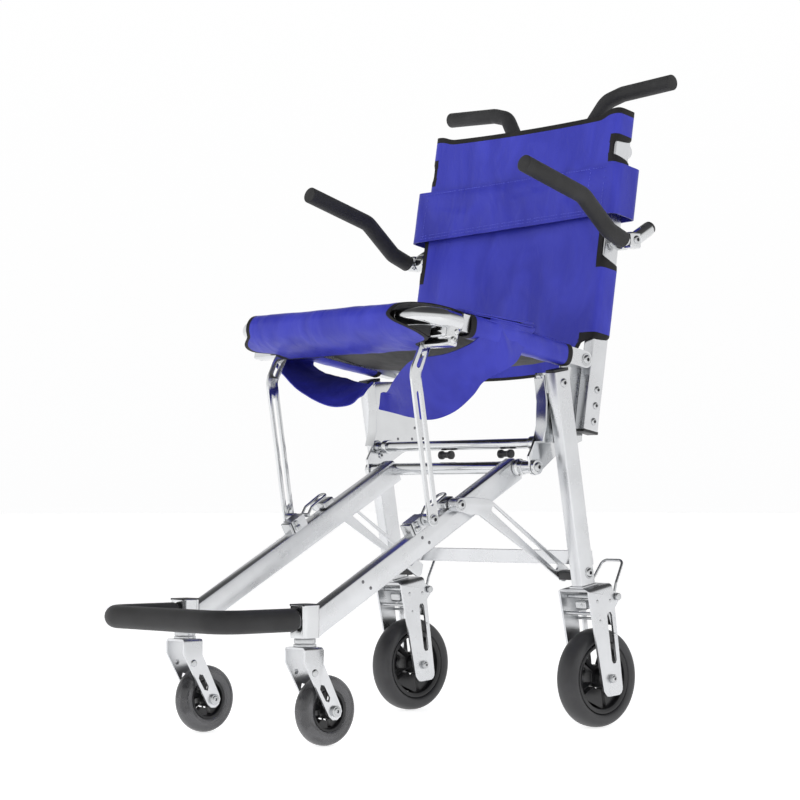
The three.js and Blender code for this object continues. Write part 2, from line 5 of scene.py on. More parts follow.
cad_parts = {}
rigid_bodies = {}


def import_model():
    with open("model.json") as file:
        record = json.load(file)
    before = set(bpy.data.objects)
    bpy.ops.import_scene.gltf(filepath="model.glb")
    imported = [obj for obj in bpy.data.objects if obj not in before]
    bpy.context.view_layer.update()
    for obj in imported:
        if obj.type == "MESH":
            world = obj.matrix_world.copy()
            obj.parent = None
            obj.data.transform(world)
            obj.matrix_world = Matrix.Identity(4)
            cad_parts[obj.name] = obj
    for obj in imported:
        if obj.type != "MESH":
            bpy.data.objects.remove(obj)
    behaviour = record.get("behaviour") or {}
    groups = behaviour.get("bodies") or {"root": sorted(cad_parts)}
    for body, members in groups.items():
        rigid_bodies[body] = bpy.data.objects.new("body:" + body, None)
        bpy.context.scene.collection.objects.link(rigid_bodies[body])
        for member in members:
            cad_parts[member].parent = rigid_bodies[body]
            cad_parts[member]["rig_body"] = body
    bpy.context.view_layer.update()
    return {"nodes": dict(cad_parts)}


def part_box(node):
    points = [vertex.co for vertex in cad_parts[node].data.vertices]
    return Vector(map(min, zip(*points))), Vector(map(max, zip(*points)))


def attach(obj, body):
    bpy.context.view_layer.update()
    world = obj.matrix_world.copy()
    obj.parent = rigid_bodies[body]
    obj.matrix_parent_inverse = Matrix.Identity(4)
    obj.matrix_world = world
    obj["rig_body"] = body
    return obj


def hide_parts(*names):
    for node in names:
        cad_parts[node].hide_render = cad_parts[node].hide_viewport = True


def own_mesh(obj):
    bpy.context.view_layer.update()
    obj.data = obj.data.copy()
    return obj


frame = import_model()
N = frame["nodes"]

# chair frame (y = 0 over the rear axles) to row frame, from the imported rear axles
lo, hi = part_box("rear_axle_l")
SHIFT = (lo.y + hi.y) / 2 * 1000.0
MM = 0.001


def M(x, y, z, rx=0.0):
    return Matrix.Translation(Vector((x, y + SHIFT, z))) @ Matrix.Rotation(math.radians(rx), 4, "X")


WORLD = M(0, 0, 0)
POST = M(0, -7, 418, -9.7)
SEAT = M(0, -33, 517.6, -9.3)
LEG = {"l": M(192.5, 0, 69.7, 10.03), "r": M(-192.5, 0, 69.7, 10.03)}
RAIL = {"l": M(125.5, -100, 366, 28.92), "r": M(-125.5, -100, 366, 28.92)}
SIDES = (("l", 1), ("r", -1))


# ---------------------------------------------------------------- materials
def new_mat(name):
    m = bpy.data.materials.new(name)
    m.use_nodes = True
    nt = m.node_tree
    b = nt.nodes["Principled BSDF"]
    return m, nt, b


def node(nt, kind, **kw):
    n = nt.nodes.new(kind)
    for k, v in kw.items():
        if k in n.inputs:
            n.inputs[k].default_value = v
        else:
            setattr(n, k, v)
    return n


def ramp(nt, fac, stops):
    r = nt.nodes.new("ShaderNodeValToRGB")
    e = r.color_ramp.elements
    while len(e) < len(stops):
        e.new(0.5)
    for i, (p, c) in enumerate(stops):
        e[i].position = p
        e[i].color = (*c, 1) if len(c) == 3 else c
    nt.links.new(fac, r.inputs["Fac"])
    return r


def bump_chain(nt, b, layers):
    prev = None
    for h, strength, dist in layers:
        bp = nt.nodes.new("ShaderNodeBump")
        bp.inputs["Strength"].default_value = strength
        bp.inputs["Distance"].default_value = dist
        nt.links.new(h, bp.inputs["Height"])
        if prev:
            nt.links.new(prev.outputs["Normal"], bp.inputs["Normal"])
        prev = bp
    nt.links.new(prev.outputs["Normal"], b.inputs["Normal"])


def metal(name, col, r0, r1, brush=(260, 12, 260), bstr=0.05):
    m, nt, b = new_mat(name)
    b.inputs["Metallic"].default_value = 1.0
    tc = node(nt, "ShaderNodeTexCoord")
    mp = node(nt, "ShaderNodeMapping")
    mp.inputs["Scale"].default_value = brush
    nt.links.new(tc.outputs["Object"], mp.inputs["Vector"])
    fine = node(nt, "ShaderNodeTexNoise", Scale=3.0, Detail=3.0)
    nt.links.new(mp.outputs["Vector"], fine.inputs["Vector"])
    cloud = node(nt, "ShaderNodeTexNoise", Scale=22.0, Detail=4.0)
    nt.links.new(tc.outputs["Object"], cloud.inputs["Vector"])
    c = ramp(nt, cloud.outputs["Fac"], [(0.3, tuple(0.90 * v for v in col)), (0.7, col)])
    nt.links.new(c.outputs["Color"], b.inputs["Base Color"])
    mr = node(nt, "ShaderNodeMapRange")
    mr.inputs["To Min"].default_value = r0
    mr.inputs["To Max"].default_value = r1
    nt.links.new(cloud.outputs["Fac"], mr.inputs["Value"])
    nt.links.new(mr.outputs["Result"], b.inputs["Roughness"])
    bump_chain(nt, b, [(fine.outputs["Fac"], bstr, 0.0004)])
    return m


def plain(name, col, rough, scale=900, strength=0.25, dist=0.0003, col2=None, spec=0.5, sheen=0.0):
    m, nt, b = new_mat(name)
    tc = node(nt, "ShaderNodeTexCoord")
    n1 = node(nt, "ShaderNodeTexNoise", Scale=scale, Detail=4.0)
    n2 = node(nt, "ShaderNodeTexNoise", Scale=26.0, Detail=4.0)
    for n in (n1, n2):
        nt.links.new(tc.outputs["Object"], n.inputs["Vector"])
    c = ramp(nt, n2.outputs["Fac"], [(0.35, col), (0.65, col2 or tuple(1.35 * v for v in col))])
    nt.links.new(c.outputs["Color"], b.inputs["Base Color"])
    mr = node(nt, "ShaderNodeMapRange")
    mr.inputs["To Min"].default_value = rough - 0.06
    mr.inputs["To Max"].default_value = min(1.0, rough + 0.08)
    nt.links.new(n2.outputs["Fac"], mr.inputs["Value"])
    nt.links.new(mr.outputs["Result"], b.inputs["Roughness"])
    b.inputs["Specular IOR Level"].default_value = spec
    b.inputs["Sheen Weight"].default_value = sheen
    bump_chain(nt, b, [(n1.outputs["Fac"], strength, dist)])
    return m


def cloth_mat(name, col, col2, rough=0.42, weave=1500.0, streak=1.0, sheen=0.15, coat=0.12):
    m, nt, b = new_mat(name)
    tc = node(nt, "ShaderNodeTexCoord")
    waves = []
    for d in ("X", "Z"):
        w = node(nt, "ShaderNodeTexWave", bands_direction=d, Scale=weave / 6.2832 * 2, Distortion=0.4)
        nt.links.new(tc.outputs["Object"], w.inputs["Vector"])
        waves.append(w)
    add = node(nt, "ShaderNodeMath", operation="ADD")
    nt.links.new(waves[0].outputs["Fac"], add.inputs[0])
    nt.links.new(waves[1].outputs["Fac"], add.inputs[1])
    mp = node(nt, "ShaderNodeMapping")
    mp.inputs["Scale"].default_value = (9, 9, 5)
    mp.inputs["Rotation"].default_value = (0.3, 0.5, 0.2)
    nt.links.new(tc.outputs["Object"], mp.inputs["Vector"])
    soft = node(nt, "ShaderNodeTexNoise", Scale=1.6, Detail=2.0, Distortion=0.9)
    nt.links.new(mp.outputs["Vector"], soft.inputs["Vector"])
    crease = node(nt, "ShaderNodeTexNoise", Scale=4.6, Detail=3.0, Distortion=1.6)
    nt.links.new(mp.outputs["Vector"], crease.inputs["Vector"])
    c = ramp(nt, soft.outputs["Fac"], [(0.38, col), (0.66, col2)])
    nt.links.new(c.outputs["Color"], b.inputs["Base Color"])
    mr = node(nt, "ShaderNodeMapRange")
    mr.inputs["To Min"].default_value = rough - 0.07
    mr.inputs["To Max"].default_value = rough + 0.1
    nt.links.new(crease.outputs["Fac"], mr.inputs["Value"])
    nt.links.new(mr.outputs["Result"], b.inputs["Roughness"])
    b.inputs["Sheen Weight"].default_value = sheen
    b.inputs["Sheen Roughness"].default_value = 0.4
    b.inputs["Specular IOR Level"].default_value = 0.27
    b.inputs["Coat Weight"].default_value = coat
    b.inputs["Coat Roughness"].default_value = 0.3
    bump_chain(nt, b, [(soft.outputs["Fac"], 0.5 * streak, 0.006), (crease.outputs["Fac"], 0.35 * streak, 0.002), (add.outputs["Value"], 0.10, 0.00012)])
    return m


ALU = metal("aluminium_satin", (0.70, 0.71, 0.725), 0.22, 0.34, (300, 10, 300), 0.015)
ALUP = metal("aluminium_polished", (0.70, 0.71, 0.72), 0.08, 0.17, (120, 30, 120), 0.02)
STEEL = metal("steel_bright", (0.56, 0.57, 0.58), 0.14, 0.26, (90, 90, 90), 0.04)
# darker copy of the steel: painted shade in the screw sockets and the gusset holes, and the colour of the small rivet
# heads
STEEL_DARK_AND_SHADE = metal("steel_dark_painted_shade", (0.18, 0.18, 0.19), 0.25, 0.4, (90, 90, 90), 0.04)
BLACK = plain("plastic_black", (0.012, 0.012, 0.013), 0.42, 700, 0.2)
FOAM = plain("foam_black", (0.012, 0.012, 0.0125), 0.62, 1500, 0.55, 0.0005, (0.022, 0.022, 0.023), 0.4, 0.06)
TYRE = plain("rubber_grey", (0.020, 0.020, 0.022), 0.40, 800, 0.25, 0.0003, (0.032, 0.032, 0.034), 0.5)
HUB = plain("hub_black", (0.008, 0.008, 0.009), 0.33, 500, 0.15)
SMOKE = plain("tyre_smoke", (0.085, 0.085, 0.09), 0.14, 300, 0.04, 0.0002, (0.12, 0.12, 0.125), 0.6)
SMOKE.node_tree.nodes["Principled BSDF"].inputs["Transmission Weight"].default_value = 0.6
BLUE = cloth_mat("cloth_blue", (0.027, 0.031, 0.34), (0.040, 0.046, 0.43), 0.40, sheen=0.02, coat=0.03)
BLUE_D = cloth_mat("cloth_blue_strap", (0.025, 0.028, 0.31), (0.036, 0.041, 0.40), 0.38, sheen=0.02, coat=0.03)
TAPE = cloth_mat("tape_black", (0.007, 0.0065, 0.007), (0.013, 0.012, 0.0125), 0.6, 2600.0, 0.4, 0.05, 0.0)
THREAD = plain("thread_blue", (0.09, 0.10, 0.50), 0.6, 2000, 0.5)


# ---------------------------------------------------------------- mesh helpers
def obj_from(name, verts, faces, mats, body, mtx=WORLD, fmat=None, angle=35, replaces=(), slot=None):
    me = bpy.data.meshes.new(name)
    me.from_pydata([tuple((mtx @ Vector(v)) * MM) for v in verts], [], faces)
    bm = bmesh.new()
    bm.from_mesh(me)
    bmesh.ops.remove_doubles(bm, verts=bm.verts, dist=1e-6)
    bmesh.ops.recalc_face_normals(bm, faces=bm.faces)
    bm.to_mesh(me)
    bm.free()
    mats = mats if isinstance(mats, (list, tuple)) else [mats]
    for m in mats:
        me.materials.append(m)
    if fmat and len(fmat) == len(me.polygons):
        for p, k in zip(me.polygons, fmat):
            p.material_index = k
    for p in me.polygons:
        p.use_smooth = True
    me.set_sharp_from_angle(angle=math.radians(angle))
    o = bpy.data.objects.new(name, me)
    bpy.context.scene.collection.objects.link(o)
    if replaces:
        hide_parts(*replaces)
    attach(o, body)
    return o


def merge(parts):
    V, F, K = [], [], []
    for p in parts:
        v, f = p[0], p[1]
        k = p[2] if len(p) > 2 else 0
        n = len(V)
        V += list(v)
        F += [tuple(i + n for i in q) for q in f]
        K += [k] * len(f) if isinstance(k, int) else list(k)
    return V, F, K


def build(name, parts, mats, body, **kw):
    V, F, K = merge(parts)
    me_kw = dict(kw)
    mtx = me_kw.pop("mtx", WORLD)
    o = obj_from(name, V, F, mats, body, mtx, None, **me_kw)
    if any(K) and len(K) == len(o.data.polygons):
        for p, k in zip(o.data.polygons, K):
            p.material_index = k
    return o


def bend(points, radius, per=6):
    P = [Vector(p) for p in points]
    out = [P[0]]
    for k in range(1, len(P) - 1):
        a, b = P[k - 1] - P[k], P[k + 1] - P[k]
        la, lb = a.length, b.length
        a.normalize(); b.normalize()
        turn = math.pi - a.angle(b)
        if turn < 1e-3:
            out.append(P[k]); continue
        back = min(radius * math.tan(turn / 2), 0.48 * la, 0.48 * lb)
        r = back / math.tan(turn / 2)
        mid = (a + b).normalized()
        c = P[k] + mid * math.hypot(r, back)
        f = P[k] + a * back - c
        ax = f.cross(P[k] + b * back - c).normalized()
        n = max(3, math.ceil(math.degrees(turn) / per))
        for j in range(n + 1):
            out.append(c + Matrix.Rotation(turn * j / n, 3, ax) @ f)
    out.append(P[-1])
    return out


def sweep(pts, r, seg=32, cap=0.0, r_fn=None, bore=0.0):
    """Tube along points, closed ends with a rounded lip of cap mm."""
    P = [Vector(p) for p in pts]
    T = []
    for i in range(len(P)):
        a = P[i] - P[i - 1] if i else P[1] - P[0]
        b = P[i + 1] - P[i] if i < len(P) - 1 else P[i] - P[i - 1]
        T.append((a.normalized() + b.normalized()).normalized())
    ref = Vector((0, 0, 1)) if abs(T[0].z) < 0.9 else Vector((1, 0, 0))
    u = T[0].cross(ref).normalized()
    rings = []
    for i, p in enumerate(P):
        if i:
            q = T[i - 1].rotation_difference(T[i])
            u = q @ u
        v = T[i].cross(u).normalized()
        rings.append((p, u.copy(), v, r_fn(i / (len(P) - 1)) if r_fn else r))
    if cap:
        ends = []
        for (p, uu, vv, rr), t, s in ((rings[0], T[0], 1), (rings[-1], T[-1], -1)):
            e = []
            for j in range(4):
                a = math.pi / 2 * j / 4
                e.append((p + t * s * cap * (1 - math.sin(a)), uu, vv, rr - cap * (1 - math.cos(a)) if j else rr))
            ends.append(e)
        head = []
        p, uu, vv, rr = rings[0]
        for j in range(4, -1, -1):
            a = math.pi / 2 * j / 4
            head.append((p + T[0] * cap * (1 - math.sin(a)), uu, vv, rr - cap + cap * math.cos(a)))
        p, uu, vv, rr = rings[-1]
        tail = []
        for j in range(0, 5):
            a = math.pi / 2 * j / 4
            tail.append((p - T[-1] * cap * (1 - math.sin(a)), uu, vv, rr - cap + cap * math.cos(a)))
        rings = head + rings[1:-1] + tail
    V, F = [], []
    for p, uu, vv, rr in rings:
        for k in range(seg):
            a = 2 * math.pi * k / seg
            V.append(p + uu * rr * math.cos(a) + vv * rr * math.sin(a))
    n = len(rings)
    for i in range(n - 1):
        for k in range(seg):
            k2 = (k + 1) % seg
            F.append((i * seg + k, i * seg + k2, (i + 1) * seg + k2, (i + 1) * seg + k))
    F.append(tuple(range(seg)))
    F.append(tuple((n - 1) * seg + k for k in reversed(range(seg))))
    return V, F


def lathe(profile, seg=48, axis="x", c=(0, 0, 0), flip=1, phase=0.0):
    """Turned shape; profile is (radius, station), open ends are closed on the axis when radius is 0."""
    V, F = [], []
    n = len(profile)
    for k in range(seg):
        a = 2 * math.pi * k / seg + phase
        for r, t in profile:
            t *= flip
            if axis == "x":
                V.append((c[0] + t, c[1] + r * math.cos(a), c[2] + r * math.sin(a)))
            elif axis == "y":
                V.append((c[0] + r * math.cos(a), c[1] + t, c[2] + r * math.sin(a)))
            else:
                V.append((c[0] + r * math.cos(a), c[1] + r * math.sin(a), c[2] + t))
    for k in range(seg):
        k2 = (k + 1) % seg
        for i in range(n - 1):
            q = [k * n + i, k2 * n + i, k2 * n + i + 1, k * n + i + 1]
            if profile[i][0] == 0:
                q = [k * n + i, k2 * n + i + 1, k * n + i + 1]
            elif profile[i + 1][0] == 0:
                q = [k * n + i, k2 * n + i, k * n + i + 1]
            F.append(tuple(q))
    return V, F


def rounded(profile, r=0.8, per=3):
    """Rounds the corners of an open or closed (radius, station) profile."""
    P = [Vector((a, b, 0)) for a, b in profile]
    out = [P[0]]
    for k in range(1, len(P) - 1):
        a, b = P[k - 1] - P[k], P[k + 1] - P[k]
        la, lb = a.length, b.length
        if la < 1e-6 or lb < 1e-6:
            continue
        d = min(r, 0.45 * la, 0.45 * lb)
        p0, p1 = P[k] + a.normalized() * d, P[k] + b.normalized() * d
        for j in range(per + 1):
            t = j / per
            out.append(p0 * (1 - t) ** 2 + P[k] * 2 * t * (1 - t) + p1 * t * t)
    out.append(P[-1])
    return [(max(0.0, p.x), p.y) for p in out]


def prism(outline, x0, x1, holes=(), bevel=0.8, seg=2):
    """Extruded (y, z) outline with real holes and rounded edges, between two x stations."""
    cu = bpy.data.curves.new("tmp", "CURVE")
    cu.dimensions = "2D"
    cu.fill_mode = "BOTH"
    for ring in [outline, *holes]:
        sp = cu.splines.new("POLY")
        sp.points.add(len(ring) - 1)
        for q, (y, z) in zip(sp.points, ring):
            q.co = (y, z, 0, 1)
        sp.use_cyclic_u = True
    cu.extrude = (x1 - x0) / 2 - bevel
    cu.bevel_depth = bevel
    cu.bevel_resolution = seg
    cu.offset = -bevel
    ob = bpy.data.objects.new("tmp", cu)
    bpy.context.scene.collection.objects.link(ob)
    bpy.context.view_layer.update()
    me = bpy.data.meshes.new_from_object(ob.evaluated_get(bpy.context.evaluated_depsgraph_get()))
    V = [((x0 + x1) / 2 + v.co.z, v.co.x, v.co.y) for v in me.vertices]
    F = [tuple(p.vertices) for p in me.polygons]
    bpy.data.objects.remove(ob)
    bpy.data.curves.remove(cu)
    bpy.data.meshes.remove(me)
    return V, F


def rbox(x0, x1, y0, y1, z0, z1, r=2.0, seg=3):
    bm = bmesh.new()
    bmesh.ops.create_cube(bm, size=1.0)
    for v in bm.verts:
        v.co = Vector(((x0 + x1) / 2 + v.co.x * (x1 - x0), (y0 + y1) / 2 + v.co.y * (y1 - y0), (z0 + z1) / 2 + v.co.z * (z1 - z0)))
    bmesh.ops.bevel(bm, geom=list(bm.edges), offset=r, segments=seg, affect="EDGES", profile=0.5)
    V = [tuple(v.co) for v in bm.verts]
    idx = {v: i for i, v in enumerate(bm.verts)}
    F = [tuple(idx[v] for v in f.verts) for f in bm.faces]
    bm.free()
    return V, F


def arc(cy, cz, r, a0, a1, n):
    return [(cy + r * math.cos(math.radians(a0 + (a1 - a0) * k / n)), cz + r * math.sin(math.radians(a0 + (a1 - a0) * k / n))) for k in range(n + 1)]


def capsule(p, q, r, n=9):
    a = math.degrees(math.atan2(q[1] - p[1], q[0] - p[0]))
    return arc(*p, r, a + 90, a + 270, n) + arc(*q, r, a - 90, a + 90, n)


def strip(points, radius, w, n=12):
    """Outline of a bar of half width w along a bent (y, z) line, with round ends."""
    P = [Vector((p.y, p.z)) for p in bend([(0, *p) for p in points], radius, 6)]
    T = []
    for i in range(len(P)):
        a = P[max(i - 1, 0)]
        b = P[min(i + 1, len(P) - 1)]
        T.append((b - a).normalized())
    lft = [(p.x - t.y * w, p.y + t.x * w) for p, t in zip(P, T)]
    rgt = [(p.x + t.y * w, p.y - t.x * w) for p, t in zip(P, T)]
    a0 = math.degrees(math.atan2(T[0].y, T[0].x))
    a1 = math.degrees(math.atan2(T[-1].y, T[-1].x))
    return arc(P[0].x, P[0].y, w, a0 + 90, a0 + 270, n)[:-1] + rgt[1:-1] + arc(P[-1].x, P[-1].y, w, a1 - 90, a1 + 90, n) + lft[1:-1][::-1]


def soften(ring, r=5.0, per=4):
    """Rounds the corners of a closed outline."""
    out = []
    n = len(ring)
    for k in range(n):
        p, a, b = Vector(ring[k]), Vector(ring[k - 1]), Vector(ring[(k + 1) % n])
        u, v = a - p, b - p
        d = min(r, 0.45 * u.length, 0.45 * v.length)
        p0, p1 = p + u.normalized() * d, p + v.normalized() * d
        for j in range(per + 1):
            t = j / per
            q = p0 * (1 - t) ** 2 + p * 2 * t * (1 - t) + p1 * t * t
            out.append((q.x, q.y))
    return out


def turn(part, m):
    return ([m @ Vector(v) for v in part[0]], part[1]) + tuple(part[2:])


def refine(n, mat, bevel=0.6, seg=2, wide=None, angle=35, slot=None):
    """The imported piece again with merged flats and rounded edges, standing for that piece."""
    src = N[n]
    me = src.data.copy()
    me.materials.clear()
    bm = bmesh.new()
    bm.from_mesh(me)
    bmesh.ops.remove_doubles(bm, verts=bm.verts, dist=1e-5)
    bmesh.ops.dissolve_limit(bm, angle_limit=math.radians(0.8), verts=bm.verts, edges=bm.edges)
    if wide:
        test, width, ws = wide
        es = [e for e in bm.edges if test(e)]
        if es:
            bmesh.ops.bevel(bm, geom=es, offset=width * MM, segments=ws, affect="EDGES", profile=0.5, clamp_overlap=True)
    bmesh.ops.recalc_face_normals(bm, faces=bm.faces)
    bm.to_mesh(me)
    bm.free()
    for p in me.polygons:
        p.use_smooth = True
    me.materials.append(mat)
    o = bpy.data.objects.new(n + ".fine", me)
    bpy.context.scene.collection.objects.link(o)
    bv = o.modifiers.new("edge", "BEVEL")
    bv.width = bevel * MM
    bv.segments = seg
    bv.limit_method = "ANGLE"
    bv.angle_limit = math.radians(angle)
    bv.harden_normals = True
    me.set_sharp_from_angle(angle=math.radians(46))
    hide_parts(n)
    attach(o, src["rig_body"])
    return o


def bolt(name, p, d, body, mtx=WORLD, r=6.5, h=3.2, socket=2.6, washer=0.0, mats=None):
    """Button-head screw with a hex socket; d is the outward direction."""
    prof = [(0, h - 2.2), (socket, h - 2.2), (socket, h), (r * 0.62, h), (r * 0.86, h * 0.72), (r, h * 0.3), (r, -0.6), (0, -0.6)]
    prof = prof[:3] + rounded(prof[3:], 0.5)
    # the socket's floor and walls (material 1) are drawn in the darker steel: painted shade inside the recess
    parts = [lathe([(a, b) for a, b in prof[:3]], 6, "z") + (1,), lathe(prof[2:], 28, "z") + (0,)]
    if washer:
        parts.append(lathe(rounded([(0, 0.7), (washer, 0.7), (washer, -0.6), (0, -0.6)], 0.3), 32, "z") + (0,))
    q = Vector((0, 0, 1)).rotation_difference(Vector(d)).to_matrix().to_4x4()
    m = Matrix.Translation(Vector(p)) @ q
    return build(name, [turn(x, m) for x in parts], mats or [STEEL, STEEL_DARK_AND_SHADE], body, mtx=mtx)


def dome(p, d, r=3.0, h=1.4, k=0):
    prof = rounded([(0, h), (r * 0.7, h * 0.85), (r, 0.2), (r, -0.5), (0, -0.5)], 0.5)
    q = Vector((0, 0, 1)).rotation_difference(Vector(d)).to_matrix().to_4x4()
    return turn(lathe(prof, 20, "z") + (k,), Matrix.Translation(Vector(p)) @ q)


def circle(cy, cz, r, n=28, a0=0):
    return [(cy + r * math.cos(a0 + 2 * math.pi * k / n), cz + r * math.sin(a0 + 2 * math.pi * k / n)) for k in range(n)]


def catmull(P, n):
    """n points along a smooth line through P."""
    P = [Vector(p) for p in P]
    out = []
    for i in range(n):
        t = i / (n - 1) * (len(P) - 1)
        k = min(int(t), len(P) - 2)
        f = t - k
        a = P[max(k - 1, 0)]; b = P[k]; c = P[k + 1]; d = P[min(k + 2, len(P) - 1)]
        out.append(0.5 * ((2 * b) + (c - a) * f + (2 * a - 5 * b + 4 * c - d) * f * f + (3 * b - a - 3 * c + d) * f ** 3))
    return out


def grid(name, rows, mats, body, mtx=WORLD, thick=1.6, black=None, replaces=(), wrinkle=0.0, wscale=0.02, pin=None, sub=1, offset=0.0):
    """A sheet from rows of points; black(i, j) says which cells are binding tape."""
    nr, nc = len(rows), len(rows[0])
    V = [mtx @ Vector(p) for r in rows for p in r]
    if wrinkle:
        W = []
        for i in range(nr):
            for j in range(nc):
                p = V[i * nc + j]
                a = V[min(i + 1, nr - 1) * nc + j] - V[max(i - 1, 0) * nc + j]
                b = V[i * nc + min(j + 1, nc - 1)] - V[i * nc + max(j - 1, 0)]
                nn = a.cross(b)
                nn = nn.normalized() if nn.length > 1e-9 else Vector((0, 0, 0))
                w = noise.noise(p * wscale) + 0.5 * noise.noise(p * wscale * 2.3 + Vector((7, 3, 1)))
                k = pin(i, j) if pin else 1.0
                W.append(p + nn * w * wrinkle * k)
        V = W
    F, K = [], []
    for i in range(nr - 1):
        for j in range(nc - 1):
            F.append((i * nc + j, i * nc + j + 1, (i + 1) * nc + j + 1, (i + 1) * nc + j))
            K.append(1 if black and black(i, j) else 0)
    me = bpy.data.meshes.new(name)
    me.from_pydata([tuple(v * MM) for v in V], [], F)
    for m in mats:
        me.materials.append(m)
    for p, k in zip(me.polygons, K):
        p.material_index = k
        p.use_smooth = True
    o = bpy.data.objects.new(name, me)
    bpy.context.scene.collection.objects.link(o)
    return o


def settle(o, pinned, frames=18, gravity=1.0, cap=7.0, shrink=0.0, pressure=0.0):
    """Lets the cloth hang for a few frames with its pinned points held, then keeps the shape, no point further than cap mm from where it was."""
    bpy.context.view_layer.update()
    g = o.vertex_groups.new(name="pin")
    for i, w in pinned.items():
        g.add([i], w, "REPLACE")
    rest = [v.co.copy() for v in o.data.vertices]
    md = o.modifiers.new("cloth", "CLOTH")
    s = md.settings
    s.quality = 6
    s.mass = 0.2
    s.tension_stiffness = 60
    s.compression_stiffness = 40
    s.shear_stiffness = 25
    s.bending_stiffness = 0.6
    s.tension_damping = 12
    s.compression_damping = 12
    s.shear_damping = 12
    s.air_damping = 2.5
    s.vertex_group_mass = "pin"
    s.shrink_min = shrink
    s.shrink_max = shrink
    s.effector_weights.gravity = gravity
    if pressure:
        s.use_pressure = True
        s.uniform_pressure_force = pressure
    md.collision_settings.use_collision = False
    md.collision_settings.use_self_collision = False
    md.point_cache.frame_start = 1
    md.point_cache.frame_end = frames
    sc = bpy.context.scene
    for f in range(1, frames + 1):
        sc.frame_set(f)
    ev = o.evaluated_get(bpy.context.evaluated_depsgraph_get())
    inv = Matrix.Identity(4)
    co = [v.co.copy() for v in ev.data.vertices]
    o.modifiers.remove(md)
    for v, a, b in zip(o.data.vertices, rest, co):
        d = b - a
        if not math.isfinite(d.length):
            d = Vector((0, 0, 0))
        if d.length > cap * MM:
            d *= cap * MM / d.length
        v.co = a + d
    o.vertex_groups.remove(g)
    o.data.update()
    sc.frame_set(1)


def finish_sheet(o, body, thick=1.6, sub=1, replaces=(), offset=0.0, inner=0):
    if sub:
        sm = o.modifiers.new("smooth", "SUBSURF")
        sm.levels = sub
        sm.render_levels = sub
    so = o.modifiers.new("thick", "SOLIDIFY")
    so.thickness = thick * MM
    so.offset = offset
    so.use_even_offset = False
    so.material_offset = inner
    bpy.context.view_layer.update()
    me = bpy.data.meshes.new_from_object(o.evaluated_get(bpy.context.evaluated_depsgraph_get()))
    old = o.data
    o.modifiers.clear()
    o.data = me
    bpy.data.meshes.remove(old)
    me.name = o.name
    for p in me.polygons:
        p.use_smooth = True
    me.set_sharp_from_angle(angle=math.radians(50))
    if replaces:
        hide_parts(*replaces)
    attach(o, body)
    return o


